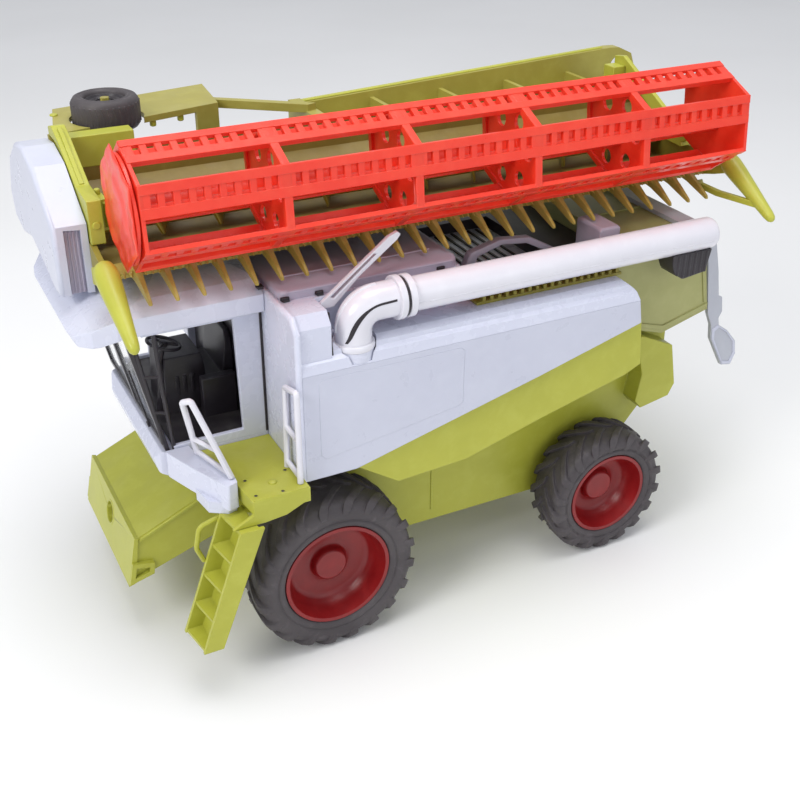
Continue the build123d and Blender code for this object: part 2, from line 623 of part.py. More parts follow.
# ---------------------------------------------------------------------------
# Header, laid lengthwise on the roof
# ---------------------------------------------------------------------------
HEAD_LEN = HEAD_LEFT_X - HEAD_RIGHT_X
with BuildPart() as header_trough:
    with BuildSketch(along(HEAD_RIGHT_X + PLATE_T)):
        with BuildLine():
            a = Polyline((44, 229.5), (SCREW_Y + 12, SCREW_Z - TROUGH_R - 0.6))
            b = Line((SCREW_Y + 12, SCREW_Z - TROUGH_R - 0.6), (SCREW_Y, SCREW_Z - TROUGH_R - SHEET))
            c = ThreePointArc((SCREW_Y, SCREW_Z - TROUGH_R - SHEET),
                              (SCREW_Y - (TROUGH_R + SHEET) * 0.7071, SCREW_Z - (TROUGH_R + SHEET) * 0.7071),
                              (SCREW_Y - TROUGH_R - SHEET, SCREW_Z))
            d = Polyline((SCREW_Y - TROUGH_R - SHEET, SCREW_Z), (WALL_Y, 250.5), (WALL_Y, WALL_TOP), (WALL_Y + SHEET, WALL_TOP),
                         (WALL_Y + SHEET, 252), (SCREW_Y - TROUGH_R, SCREW_Z))
            e = ThreePointArc((SCREW_Y - TROUGH_R, SCREW_Z),
                              (SCREW_Y - TROUGH_R * 0.7071, SCREW_Z - TROUGH_R * 0.7071),
                              (SCREW_Y, SCREW_Z - TROUGH_R))
            f = Polyline((SCREW_Y, SCREW_Z - TROUGH_R), (SCREW_Y + 12, SCREW_Z - TROUGH_R + 2), (44, 232), (44, 229.5))
        make_face()
    extrude(amount=HEAD_LEN - 2 * PLATE_T)
    # raised flange at both ends, on which the reel's arms rest: x of its right end, length
    for flange_x, flange_len in ((147.0, HEAD_LEFT_X - PLATE_T - 147.0), (HEAD_RIGHT_X + PLATE_T, 16.0)):
        with BuildSketch(along(flange_x)):
            with BuildLine():
                Polyline((-34.5, 260), (-34.5, 268), (-42.5, 268), (-42.5, FLANGE_TOP), (-32, FLANGE_TOP), (-32, 260), (-34.5, 260))
            make_face()
        extrude(amount=flange_len)
    # low raised strip of the rear wall beside the bracket's brace
    with Locations((56, WALL_Y + SHEET / 2, 268.5)):
        Box(52, SHEET, 6)
keep(header_trough, "header_trough")

with BuildPart() as header_end_plates:
    for plate_x in (HEAD_RIGHT_X, HEAD_LEFT_X - PLATE_T):
        with BuildSketch(along(plate_x)):
            with BuildLine():
                Polyline((46, 228), (2, 222.5), (-30, 223.5), (-44, 240), (-44, 276.8), (-22, 268.5), (10.5, 250.5), (10.5, 241), (34, 240), (50, 236), (46, 228))
            make_face()
            with Locations((SCREW_Y, SCREW_Z)):
                Circle(3.0 + RUN, mode=Mode.SUBTRACT)
        extrude(amount=PLATE_T)
keep(header_end_plates, "header_end_plates")

with BuildPart() as header_cover:
    with BuildSketch(along(HEAD_LEFT_X)):
        with BuildLine():
            Polyline((30, 251), (29.5, 213.5), (18, 212.2), (-12, 219), (-36, 223), (-62, 217), (-84, 220), (-88, 236), (-72, 260),
                     (-49, 273.5), (-28, 276.5), (-6, 272), (30, 251))
        make_face()
    extrude(amount=COVER_T)
    fillet(header_cover.faces().sort_by(Axis.X)[-1].edges(), 2.5)
    # slot in its near end
    with BuildSketch(across(30.5)):
        with BuildLine():
            Polyline((HEAD_LEFT_X + 3.5, 248), (HEAD_LEFT_X + 12.0, 249), (HEAD_LEFT_X + 12.0, 205), (HEAD_LEFT_X + 3.5, 205), (HEAD_LEFT_X + 3.5, 248))
        make_face()
    extrude(amount=4.5, mode=Mode.SUBTRACT)
keep(header_cover, "header_cover")

with BuildPart() as knife_bar:
    with BuildSketch(along(HEAD_RIGHT_X + PLATE_T)):
        with BuildLine():
            Polyline((44, 229.0), (44, 232.5), (50, 230.5), (50, 226.5), (44, 229.0))
        make_face()
    extrude(amount=HEAD_LEN - 2 * PLATE_T)
    FINGERS, FINGER_FIRST_X, FINGER_PITCH = 26, 173.0, -13.98
    for i in range(FINGERS):
        fx = FINGER_FIRST_X + FINGER_PITCH * i
        with BuildSketch(along(fx - 1.0)):
            with BuildLine():
                Polyline((49, 227.2), (49, 230.6), (71.3, 219.9), (71.3, 218.7), (49, 227.2))
            make_face()
        extrude(amount=2.0)
keep(knife_bar, "knife_bar")

# cones at both ends of the knife; the right one is braced by a second bar
with BuildPart() as crop_dividers:
    # x of the middle of the cone
    for div_x in (HEAD_RIGHT_X + 1.5, HEAD_LEFT_X + 1.5):
        with BuildSketch(along(div_x - 3.2)):
            with BuildLine():
                Polyline((50.3, 236.5), (50.3, 226), (80, 224.5), (109.5, 213.3), (111, 215), (104, 222), (84, 235.5), (76, 238), (50.3, 236.5))
            make_face()
        extrude(amount=6.4)
        with BuildSketch(along(div_x - 4.6)):
            with BuildLine():
                Polyline((52, 234.5), (52, 228), (80, 226.2), (102, 217), (102, 219.5), (84, 232.5), (76, 235.5), (52, 234.5))
            make_face()
        extrude(amount=9.2)
    with BuildSketch(level(220.2)):
        with BuildLine():
            Polyline((HEAD_RIGHT_X + 4.4, 50.3), (HEAD_RIGHT_X + 11.5, 50.3), (HEAD_RIGHT_X + 12.0, 72), (HEAD_RIGHT_X + 4.4, 100),
                     (HEAD_RIGHT_X + 3, 100), (HEAD_RIGHT_X + 3, 93), (HEAD_RIGHT_X + 8.4, 72), (HEAD_RIGHT_X + 8.4, 56), (HEAD_RIGHT_X + 4.4, 50.3))
        make_face()
    extrude(amount=3.4)
keep(crop_dividers, "crop_dividers")

with BuildPart() as reel_arms:
    # left arm: a stout beam from the flange forward and down to its block
    with BuildSketch(along(ARM_X)):
        with BuildLine():
            Polyline((-43.5, FLANGE_TOP), (-43.5, 281.5), (-34, 284), (-22, 280), (11, 264.5), (33.5, 263.5), (34, 240.3), (11, 241.3), (11, 252), (-24, 271),
                     (-31, FLANGE_TOP), (-43.5, FLANGE_TOP))
        make_face()
    extrude(amount=ARM_T)
    # its bearing plate reaches between the reel's end plate and end cap: it is thin
    with BuildSketch(along(REEL_LEFT_X + 0.7)):
        with BuildLine():
            Polyline((15.5, 259), (27, 259), (56, 273), (64, 275), (71, 268), (64, 261), (56, 262), (27, 246), (15.5, 246), (15.5, 259))
        make_face()
        with Locations((REEL_Y, REEL_Z)):
            Circle(3.0 + RUN, mode=Mode.SUBTRACT)
    extrude(amount=1.8)
    with BuildSketch(along(REEL_LEFT_X + 0.7)):
        with BuildLine():
            Polyline((15.5, 261), (26, 261), (26, 244), (15.5, 244), (15.5, 261))
        make_face()
    extrude(amount=ARM_X - REEL_LEFT_X)
    # right arm outside the reel's last plate
    with BuildSketch(along(REEL_RIGHT_X - 5.5)):
        with BuildLine():
            Polyline((-43.5, FLANGE_TOP), (-43.5, 281.5), (-34, 283), (12, 260), (32, 256), (58, 273), (64, 275), (71, 268), (64, 261), (58, 261), (34, 243),
                     (12, 250), (-30, 272), (-31, FLANGE_TOP), (-43.5, FLANGE_TOP))
        make_face()
        with Locations((REEL_Y, REEL_Z)):
            Circle(3.0 + RUN, mode=Mode.SUBTRACT)
    extrude(amount=3.0)
    with BuildSketch(along(REEL_RIGHT_X - 9.7)):
        with BuildLine():
            Polyline((11, 257), (32, 253.5), (33, 240.3), (11, 241.3), (11, 257))
        make_face()
    extrude(amount=7.2)
keep(reel_arms, "reel_arms")

with BuildPart() as reel:
    with BuildSketch(along(REEL_RIGHT_X - 5.5)):
        with Locations((REEL_Y, REEL_Z)):
            Circle(3.0)
    extrude(amount=REEL_LEFT_X - REEL_RIGHT_X + 9.0)
    for i in range(REEL_PLATES):
        px = REEL_LEFT_X - 2 + (REEL_RIGHT_X - REEL_LEFT_X + 2) * i / (REEL_PLATES - 1)
        with BuildSketch(along(px)):
            with Locations((REEL_Y, REEL_Z)):
                RegularPolygon(REEL_R - 0.6, 6, rotation=REEL_TURN)
                if 0 < i < REEL_PLATES - 1:
                    with PolarLocations(REEL_R * 0.56, 6, start_angle=REEL_TURN - 30):
                        Circle(4.4, mode=Mode.SUBTRACT)
        extrude(amount=2.0)
    # hexagonal cap outside the left arm's bearing plate
    with BuildSketch(along(REEL_LEFT_X + 3.1)):
        with Locations((REEL_Y, REEL_Z)):
            RegularPolygon(REEL_R - 0.6, 6, rotation=REEL_TURN)
    extrude(amount=1.5)
    # drum on the shaft, from plate to plate
    with BuildSketch(along(REEL_RIGHT_X)):
        with Locations((REEL_Y, REEL_Z)):
            Circle(DRUM_R)
    extrude(amount=REEL_LEFT_X - REEL_RIGHT_X)
    # each bat runs from a corner of the plates half way along the next side
    for i in range(6):
        ang, nxt = radians(REEL_TURN + 60 * i), radians(REEL_TURN - 60 + 60 * i)
        c0 = (REEL_Y + REEL_R * cos(ang), REEL_Z + REEL_R * sin(ang))
        way = (cos(nxt) - cos(ang), sin(nxt) - sin(ang))
        mid = (cos(ang) + cos(nxt), sin(ang) + sin(nxt))
        depth = hypot(mid[0], mid[1])
        inw = (-mid[0] / depth * BAT_T, -mid[1] / depth * BAT_T)
        c1 = (c0[0] + way[0] * BAT_W, c0[1] + way[1] * BAT_W)
        with BuildSketch(along(REEL_RIGHT_X)):
            with BuildLine():
                Polyline(c0, c1, (c1[0] + inw[0], c1[1] + inw[1]), (c0[0] + inw[0] * 0.9, c0[1] + inw[1] * 0.9), c0)
            make_face()
        extrude(amount=REEL_LEFT_X - REEL_RIGHT_X)
keep(reel, "reel")

with BuildPart() as header_screw:
    with BuildSketch(along(HEAD_RIGHT_X)):
        with Locations((SCREW_Y, SCREW_Z)):
            Circle(3.0)
    extrude(amount=HEAD_LEN)
    with BuildSketch(along(HEAD_RIGHT_X + 2 * PLATE_T)):
        with Locations((SCREW_Y, SCREW_Z)):
            Circle(6.5)
    extrude(amount=HEAD_LEN - 4 * PLATE_T)
    for i in range(FLIGHTS):
        with BuildSketch(along(FLIGHT_FIRST_X - 1.0 + FLIGHT_PITCH * i)):
            with Locations((SCREW_Y, SCREW_Z)):
                Circle(SCREW_R)
        extrude(amount=2)
keep(header_screw, "header_screw")

# beam with its hitch eye, raised bracket for the carriage's wheel, brace between them
BRACKET_TOP = 274.5
with BuildPart(HERE) as carriage_frame:
    with BuildSketch(level(BRACKET_TOP - 3.0)):
        with BuildLine():
            Polyline((176.5, -101.6), (79.3, -119.4), (84.5, -73), (187, -50), (176.5, -101.6))
        make_face()
    extrude(amount=3.0)
    # round notch for the wheel, with a tab under it that carries the pin
    with BuildSketch(level(BRACKET_TOP - 4.0)):
        with Locations((CARRIAGE_X, CARRIAGE_Y)):
            Circle(CARRIAGE_R + 1.6)
    extrude(amount=6.0, mode=Mode.SUBTRACT)
    with BuildSketch(level(263.5)):
        with BuildLine():
            Polyline((145, -97), (159, -97), (157, -66), (147, -66), (145, -97))
        make_face()
    extrude(amount=3.0)
    with BuildSketch(level(263.5)):
        with BuildLine():
            Polyline((145, -97), (159, -97), (159, -93.6), (145, -93.6), (145, -97))
        make_face()
    extrude(amount=BRACKET_TOP - 263.5)
    # bracket's legs and front lip
    with BuildSketch(level(BRACKET_TOP - 17.0)):
        with BuildLine():
            Polyline((176.5, -101.6), (172.6, -102.3), (183.0, -50.9), (187, -50), (176.5, -101.6))
        make_face()
        with BuildLine():
            Polyline((83.3, -118.7), (79.3, -119.4), (84.5, -73), (88.5, -72.1), (83.3, -118.7))
        make_face()
    extrude(amount=15.0)
    with BuildSketch(level(BRACKET_TOP - 17.0)):
        with BuildLine():
            Polyline((84.5, -73), (84.2, -75.6), (99.6, -72.2), (99, -69.75), (84.5, -73))
        make_face()
    extrude(amount=15.0)
    with BuildSketch(level(BRACKET_TOP - 3.5)):
        with BuildLine():
            Polyline((84.5, -73), (84.7, -75.4), (186, -52.6), (187, -50), (84.5, -73))
        make_face()
        with Locations((CARRIAGE_X, CARRIAGE_Y)):
            Circle(CARRIAGE_R + 1.6, mode=Mode.SUBTRACT)
        with BuildLine():
            Polyline((79.3, -119.4), (79.6, -117), (176.5, -99.2), (176.5, -101.6), (79.3, -119.4))
        make_face()
    extrude(amount=2.0)
    # foot that joins the bracket to the header's back
    with Locations((184, -43.75, 262)):
        Box(7, 18.5, 9)
    # brace
    with BuildSketch(level(268.0)):
        with BuildLine():
            Polyline((82.5, -92), (83.2, -86), (36, -50), (30, -52), (82.5, -92))
        make_face()
    extrude(amount=5.0)
    # beam
    with BuildSketch(across(-78)):
        with BuildLine():
            Polyline((34, 266), (34, 252), (-196, 250), (-212, 251), (-224, 257), (-227, 264), (-224, 272), (-213, 277), (-205, 277.4), (34, 266))
        make_face()
        with Locations((EYE_X, EYE_Z)):
            Circle(EYE_R, mode=Mode.SUBTRACT)
    extrude(amount=8)
    with BuildSketch(level(252.0)):
        with BuildLine():
            Polyline((34, -84), (34, -34.5), (-186, -34.5), (-198, -84), (34, -84))
        make_face()
    extrude(amount=3)
    for rib_x in (30, -20, -70, -120, -170):
        with Locations((rib_x, -60, 258.5)):
            Box(3, 36, 12)
    with Locations((33, -60, 262.2)):
        Box(8, 40, 13.4)
keep(carriage_frame, "carriage_frame")

# the carriage's wheel, lying flat with its pin upright
with BuildPart() as carriage_tyre:
    with BuildSketch(level(CARRIAGE_Z)):
        with Locations((CARRIAGE_X, CARRIAGE_Y)):
            Circle(CARRIAGE_R)
            Circle(11.5, mode=Mode.SUBTRACT)
    extrude(amount=CARRIAGE_W)
    fillet(carriage_tyre.edges().filter_by(GeomType.CIRCLE).group_by(SortBy.RADIUS)[-1], 3)
keep(carriage_tyre, "carriage_tyre")

with BuildPart() as carriage_rim:
    with BuildSketch(level(CARRIAGE_Z + 1.5)):
        with Locations((CARRIAGE_X, CARRIAGE_Y)):
            Circle(11.5)
            Circle(2.5 + RUN, mode=Mode.SUBTRACT)
    extrude(amount=10.0)
    with BuildSketch(level(CARRIAGE_Z + 11.0)):
        with Locations((CARRIAGE_X, CARRIAGE_Y)):
            Circle(5.5)
            Circle(2.5 + RUN, mode=Mode.SUBTRACT)
    extrude(amount=3.6)
keep(carriage_rim, "carriage_rim")

with BuildPart() as carriage_pin:
    with BuildSketch(level(266.5)):
        with Locations((CARRIAGE_X, CARRIAGE_Y)):
            Circle(2.5)
    extrude(amount=19.5)
keep(carriage_pin, "carriage_pin")
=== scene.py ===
import math
import random

import bpy
import bmesh
from mathutils import Matrix, Vector


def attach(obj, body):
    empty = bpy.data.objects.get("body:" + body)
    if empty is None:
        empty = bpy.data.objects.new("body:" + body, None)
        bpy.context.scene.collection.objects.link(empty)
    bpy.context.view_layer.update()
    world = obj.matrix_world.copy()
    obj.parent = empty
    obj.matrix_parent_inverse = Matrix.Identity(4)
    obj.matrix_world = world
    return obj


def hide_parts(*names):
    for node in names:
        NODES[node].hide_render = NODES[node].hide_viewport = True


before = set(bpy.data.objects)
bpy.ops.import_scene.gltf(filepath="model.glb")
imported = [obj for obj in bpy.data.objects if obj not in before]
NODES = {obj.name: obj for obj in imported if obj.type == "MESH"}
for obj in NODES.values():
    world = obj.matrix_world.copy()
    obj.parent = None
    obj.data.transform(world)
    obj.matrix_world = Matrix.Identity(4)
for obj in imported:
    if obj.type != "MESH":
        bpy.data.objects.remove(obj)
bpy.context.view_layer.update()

# ---------------------------------------------------------------------------
# The object's own millimetres: x forward, y left, z up. A piece is written in
# them and placed in the row frame, in metres.
# ---------------------------------------------------------------------------
SX, SY = 8.0, -2.5


def M(x, y, z):
    return Vector(((x + SX) / 1000.0, (y + SY) / 1000.0, z / 1000.0))


# ---------------------------------------------------------------------------
# Materials
# ---------------------------------------------------------------------------
def srgb(r, g, b):
    def lin(c):
        c = c / 255.0
        return c / 12.92 if c <= 0.04045 else ((c + 0.055) / 1.055) ** 2.4
    return (lin(r), lin(g), lin(b), 1.0)


class Nodes:
    """Short way of writing a node tree."""

    def __init__(self, name):
        self.mat = bpy.data.materials.new(name)
        self.mat.use_nodes = True
        self.tree = self.mat.node_tree
        self.tree.nodes.clear()
        self.out = self.add("ShaderNodeOutputMaterial")
        self.coord = self.add("ShaderNodeTexCoord").outputs["Object"]

    def add(self, kind, **props):
        n = self.tree.nodes.new(kind)
        for k, v in props.items():
            setattr(n, k, v)
        return n

    def link(self, a, b):
        self.tree.links.new(a, b)

    def put(self, node, socket, value):
        s = node.inputs[socket]
        if isinstance(value, bpy.types.NodeSocket):
            self.link(value, s)
        else:
            s.default_value = value

    def noise(self, scale, detail=3.0, rough=0.5, distort=0.0, coord=None, out="Fac"):
        n = self.add("ShaderNodeTexNoise")
        self.put(n, "Vector", coord or self.coord)
        self.put(n, "Scale", scale)
        self.put(n, "Detail", detail)
        self.put(n, "Roughness", rough)
        self.put(n, "Distortion", distort)
        return n.outputs[out]

    def stretch(self, sx, sy, sz):
        n = self.add("ShaderNodeMapping")
        self.put(n, "Vector", self.coord)
        self.put(n, "Scale", (sx, sy, sz))
        return n.outputs["Vector"]

    def ramp(self, fac, stops, interpolation="EASE"):
        n = self.add("ShaderNodeValToRGB")
        n.color_ramp.interpolation = interpolation
        while len(n.color_ramp.elements) < len(stops):
            n.color_ramp.elements.new(0.5)
        for e, (pos, col) in zip(n.color_ramp.elements, stops):
            e.position = pos
            e.color = col if len(col) == 4 else (*col, 1.0)
        self.put(n, "Fac", fac)
        return n.outputs["Color"]

    def mix(self, fac, a, b, blend="MIX"):
        n = self.add("ShaderNodeMix", data_type="RGBA", blend_type=blend)
        self.put(n, 0, fac)
        self.put(n, 6, a)
        self.put(n, 7, b)
        return n.outputs[2]

    def math(self, op, a, b=0.0, clamp=False):
        n = self.add("ShaderNodeMath", operation=op, use_clamp=clamp)
        self.put(n, 0, a)
        self.put(n, 1, b)
        return n.outputs[0]

    def bump(self, height, distance, strength=1.0, normal=None):
        n = self.add("ShaderNodeBump")
        self.put(n, "Height", height)
        self.put(n, "Distance", distance)
        self.put(n, "Strength", strength)
        if normal is not None:
            self.put(n, "Normal", normal)
        return n.outputs["Normal"]


def grey(v):
    return (v, v, v, 1.0)


def plastic(name, base, shade, light, rough=0.34, grain=0.00003, grain_scale=2600.0, soft=0.00045, scratch=0.35,
            dust=0.12, dust_colour=(0.55, 0.52, 0.46, 1.0), coat=0.0, sss=0.0, spec=0.5, flow=0.25):
    """Moulded plastic: flow shading, paler edges that are partly worn and partly a painted highlight, hairline
    scratches, a little dust on what faces up.
    """
    m = Nodes(name)
    bevel = m.add("ShaderNodeBevel", samples=4)
    m.put(bevel, "Radius", soft)
    geo = m.add("ShaderNodeNewGeometry")
    dot = m.add("ShaderNodeVectorMath", operation="DOT_PRODUCT")
    m.link(bevel.outputs["Normal"], dot.inputs[0])
    m.link(geo.outputs["Normal"], dot.inputs[1])
    edge = m.ramp(m.math("SUBTRACT", 1.0, dot.outputs["Value"]), [(0.01, grey(0)), (0.22, grey(1))])

    big = m.noise(14.0, 4.0, 0.55, 0.6)
    mid = m.noise(m_scale := 90.0, 5.0, 0.6, 0.3)
    flow_n = m.noise(22.0, 2.0, 0.5, 2.2, coord=m.stretch(0.5, 1.6, 1.3))
    tone = m.math("ADD", m.math("MULTIPLY", big, 1.0 - flow), m.math("MULTIPLY", flow_n, flow))
    col = m.mix(m.ramp(tone, [(0.22, grey(0)), (0.78, grey(1))]), shade, base)
    col = m.mix(m.math("MULTIPLY", m.ramp(mid, [(0.42, grey(0)), (0.72, grey(1))]), 0.22), col, light)
    # fine speckle of the pigment
    speck = m.noise(1500.0, 2.0, 0.5)
    col = m.mix(m.math("MULTIPLY", m.ramp(speck, [(0.60, grey(0)), (0.72, grey(1))]), 0.16), col, shade)
    # paler edges: partly slightly chalky wear where the mould line is handled, partly a painted edge highlight
    edge_break_noise = m.noise(160.0, 4.0, 0.65)
    wear_and_edge_highlight = m.math("MULTIPLY", edge, m.ramp(edge_break_noise, [(0.40, grey(0.15)), (0.62, grey(1))]))
    col = m.mix(m.math("MULTIPLY", wear_and_edge_highlight, 0.55), col, light)
    # dust that settles on upward faces
    sep = m.add("ShaderNodeSeparateXYZ")
    m.link(geo.outputs["Normal"], sep.inputs[0])
    up = m.ramp(sep.outputs["Z"], [(0.45, grey(0)), (0.95, grey(1))])
    dust_n = m.ramp(m.noise(48.0, 6.0, 0.6), [(0.35, grey(0)), (0.85, grey(1))])
    dusty = m.math("MULTIPLY", m.math("MULTIPLY", up, dust_n), dust)
    col = m.mix(dusty, col, dust_colour)

    # hairline scratches, in two directions
    s1 = m.noise(260.0, 2.0, 0.5, coord=m.stretch(0.25, 3.2, 3.0))
    s2 = m.noise(230.0, 2.0, 0.5, coord=m.stretch(3.0, 0.3, 2.4))
    hair = m.math("MAXIMUM", m.ramp(s1, [(0.70, grey(0)), (0.76, grey(1))]), m.ramp(s2, [(0.72, grey(0)), (0.78, grey(1))]))
    r = m.math("ADD", rough - 0.06, m.math("MULTIPLY", mid, 0.12))
    r = m.math("ADD", r, m.math("MULTIPLY", hair, 0.10 * scratch))
    r = m.math("ADD", r, m.math("MULTIPLY", dusty, 0.5))
    r = m.math("ADD", r, m.math("MULTIPLY", wear_and_edge_highlight, 0.10), clamp=True)

    fine = m.noise(grain_scale, 2.0, 0.5)
    n1 = m.bump(fine, grain, 0.8, bevel.outputs["Normal"])
    n2 = m.bump(m.math("MULTIPLY", hair, -1.0), 0.00002 * scratch, 0.8, n1)
    wave = m.noise(45.0, 2.0, 0.5)
    n3 = m.bump(wave, 0.00022, 0.5, n2)

    p = m.add("ShaderNodeBsdfPrincipled")
    m.link(col, p.inputs["Base Color"])
    m.link(r, p.inputs["Roughness"])
    m.link(n3, p.inputs["Normal"])
    p.inputs["Specular IOR Level"].default_value = spec
    p.inputs["IOR"].default_value = 1.49
    p.inputs["Coat Weight"].default_value = coat
    p.inputs["Coat Roughness"].default_value = 0.22
    if sss:
        p.inputs["Subsurface Weight"].default_value = sss
        p.inputs["Subsurface Radius"].default_value = (1.0, 0.55, 0.35)
        p.inputs["Subsurface Scale"].default_value = 0.0012
    m.link(p.outputs[0], m.out.inputs["Surface"])
    return m.mat


GREEN = plastic("green_plastic_mat", srgb(183, 184, 66), srgb(172, 173, 60), srgb(200, 203, 94), rough=0.36, dust=0.08, spec=0.45)
OLIVE = plastic("olive_plastic_mat", srgb(154, 144, 60), srgb(138, 127, 52), srgb(178, 170, 82), rough=0.38, dust=0.12, spec=0.4)
# olive darkened as painted shade: the shadow under the reel on the trough
SHADED_TROUGH = plastic("trough_painted_shade_mat", srgb(134, 116, 52), srgb(116, 96, 44), srgb(156, 142, 68), rough=0.42, dust=0.12, spec=0.3)
FRAME = plastic("frame_plastic_mat", srgb(170, 162, 76), srgb(156, 147, 68), srgb(190, 184, 98), rough=0.40, dust=0.12, spec=0.35)
HOOD = plastic("hood_plastic_mat", srgb(170, 170, 110), srgb(158, 158, 98), srgb(188, 188, 130), rough=0.36, dust=0.10, spec=0.45)
BRASS = plastic("finger_plastic_mat", srgb(190, 170, 84), srgb(166, 146, 62), srgb(212, 196, 110), rough=0.34, dust=0.06, spec=0.45)
WHITE = plastic("white_plastic_mat", srgb(212, 215, 231), srgb(207, 210, 227), srgb(222, 225, 238), rough=0.27, dust=0.06, spec=0.5,
                scratch=0.08, dust_colour=(0.58, 0.56, 0.56, 1.0), coat=0.12)
# white darkened as painted shade, for the side panels, the header cover and the pieces on them
SHADED_SIDE_WHITE = plastic("side_white_painted_shade_mat", srgb(203, 206, 221), srgb(197, 200, 216), srgb(211, 214, 228), rough=0.29, dust=0.06, spec=0.45, scratch=0.08)
PANEL_WHITE = plastic("panel_white_mat", srgb(186, 189, 198), srgb(178, 181, 191), srgb(200, 203, 211), rough=0.34, dust=0.10, spec=0.4, scratch=0.1)
TUBE_WHITE = plastic("tube_white_mat", srgb(226, 225, 232), srgb(219, 218, 227), srgb(236, 236, 242), rough=0.20, dust=0.04, spec=0.5, coat=0.3)
# grey-pink as painted shadow: the header's shadow on the tank lid and its lip, the shade in the cover's slot
SHADOWED_MAUVE = plastic("mauve_painted_shadow_mat", srgb(184, 176, 192), srgb(174, 166, 183), srgb(202, 195, 209), rough=0.36, dust=0.10)
ORANGE = plastic("orange_plastic_mat", srgb(246, 66, 42), srgb(234, 54, 36), srgb(252, 98, 70), rough=0.30, dust=0.04, coat=0.10, sss=0.10,
                 dust_colour=(0.7, 0.35, 0.25, 1.0))
RED = plastic("red_plastic_mat", srgb(144, 22, 24), srgb(122, 16, 20), srgb(178, 42, 40), rough=0.32, dust=0.05, coat=0.06,
              dust_colour=(0.4, 0.2, 0.2, 1.0))
BLACK = plastic("black_plastic_mat", srgb(46, 41, 46), srgb(38, 34, 39), srgb(70, 66, 73), rough=0.34, dust=0.12)
# dark plastic for the hinges and clips, and painted shade in the gaps, slots, holes and the deck's well
DARK_AND_SHADE = plastic("dark_plastic_and_painted_shade_mat", srgb(44, 36, 42), srgb(34, 28, 34), srgb(62, 54, 62), rough=0.42, dust=0.10)
GREY = plastic("grey_plastic_mat", srgb(184, 176, 190), srgb(172, 164, 180), srgb(202, 196, 208), rough=0.36, dust=0.10)


def rubber(name, base, shade, light):
    """Soft tyre plastic: matt, with a finely broken surface, and pale scuffs and a painted highlight on the raised
    edges.
    """
    m = Nodes(name)
    bevel = m.add("ShaderNodeBevel", samples=4)
    m.put(bevel, "Radius", 0.0004)
    geo = m.add("ShaderNodeNewGeometry")
    dot = m.add("ShaderNodeVectorMath", operation="DOT_PRODUCT")
    m.link(bevel.outputs["Normal"], dot.inputs[0])
    m.link(geo.outputs["Normal"], dot.inputs[1])
    edge = m.ramp(m.math("SUBTRACT", 1.0, dot.outputs["Value"]), [(0.01, grey(0)), (0.25, grey(1))])
    big = m.noise(26.0, 5.0, 0.6, 0.4)
    col = m.mix(m.ramp(big, [(0.35, grey(0)), (0.68, grey(1))]), shade, base)
    scuff = m.ramp(m.noise(120.0, 6.0, 0.7, 0.8), [(0.52, grey(0)), (0.74, grey(1))])
    col = m.mix(m.math("MULTIPLY", scuff, 0.30), col, light)
    # raised edges paler: scuffs, and a painted highlight all along them
    col = m.mix(m.math("MULTIPLY", edge, m.math("ADD", m.math("MULTIPLY", scuff, 0.6), 0.22)), col, light)
    r = m.math("ADD", 0.46, m.math("MULTIPLY", m.noise(80.0, 4.0, 0.6), 0.22), clamp=True)
    fine = m.noise(3000.0, 3.0, 0.6)
    n1 = m.bump(fine, 0.00006, 0.8, bevel.outputs["Normal"])
    n2 = m.bump(m.noise(240.0, 4.0, 0.6), 0.00015, 0.6, n1)
    p = m.add("ShaderNodeBsdfPrincipled")
    m.link(col, p.inputs["Base Color"])
    m.link(r, p.inputs["Roughness"])
    m.link(n2, p.inputs["Normal"])
    p.inputs["Specular IOR Level"].default_value = 0.45
    m.link(p.outputs[0], m.out.inputs["Surface"])
    return m.mat


TYRE = rubber("tyre_rubber_mat", srgb(80, 75, 77), srgb(66, 61, 64), srgb(118, 111, 115))


def drawn_steel(name):
    m = Nodes(name)
    lines = m.noise(900.0, 2.0, 0.5, coord=m.stretch(1.0, 0.06, 1.0))
    patina = m.noise(120.0, 5.0, 0.6)
    col = m.mix(m.ramp(patina, [(0.35, grey(0)), (0.75, grey(1))]), (0.36, 0.35, 0.34, 1), (0.62, 0.61, 0.60, 1))
    p = m.add("ShaderNodeBsdfPrincipled")
    m.link(col, p.inputs["Base Color"])
    p.inputs["Metallic"].default_value = 1.0
    m.link(m.math("ADD", 0.22, m.math("MULTIPLY", lines, 0.2)), p.inputs["Roughness"])
    m.link(m.bump(lines, 0.00003, 0.7), p.inputs["Normal"])
    m.link(p.outputs[0], m.out.inputs["Surface"])
    return m.mat


STEEL = drawn_steel("steel_mat")


def clear_plastic(name):
    """Clear moulded pane: faint tint, a few hairlines and a film of dust."""
    m = Nodes(name)
    hair = m.ramp(m.noise(300.0, 2.0, 0.5, coord=m.stretch(1.0, 0.2, 2.4)), [(0.68, grey(0)), (0.78, grey(1))])
    film = m.ramp(m.noise(60.0, 5.0, 0.65), [(0.4, grey(0)), (0.8, grey(1))])
    p = m.add("ShaderNodeBsdfPrincipled")
    m.link(m.mix(film, (0.80, 0.83, 0.88, 1), (0.70, 0.72, 0.76, 1)), p.inputs["Base Color"])
    m.link(m.math("ADD", 0.06, m.math("MULTIPLY", hair, 0.2)), p.inputs["Roughness"])
    m.link(m.math("ADD", 0.16, m.math("MULTIPLY", m.math("ADD", film, hair), 0.07)), p.inputs["Alpha"])
    m.link(m.bump(hair, 0.00002, 0.5), p.inputs["Normal"])
    p.inputs["IOR"].default_value = 1.45
    m.link(p.outputs[0], m.out.inputs["Surface"])
    m.mat.surface_render_method = "BLENDED"
    return m.mat


CLEAR = clear_plastic("clear_plastic_mat")

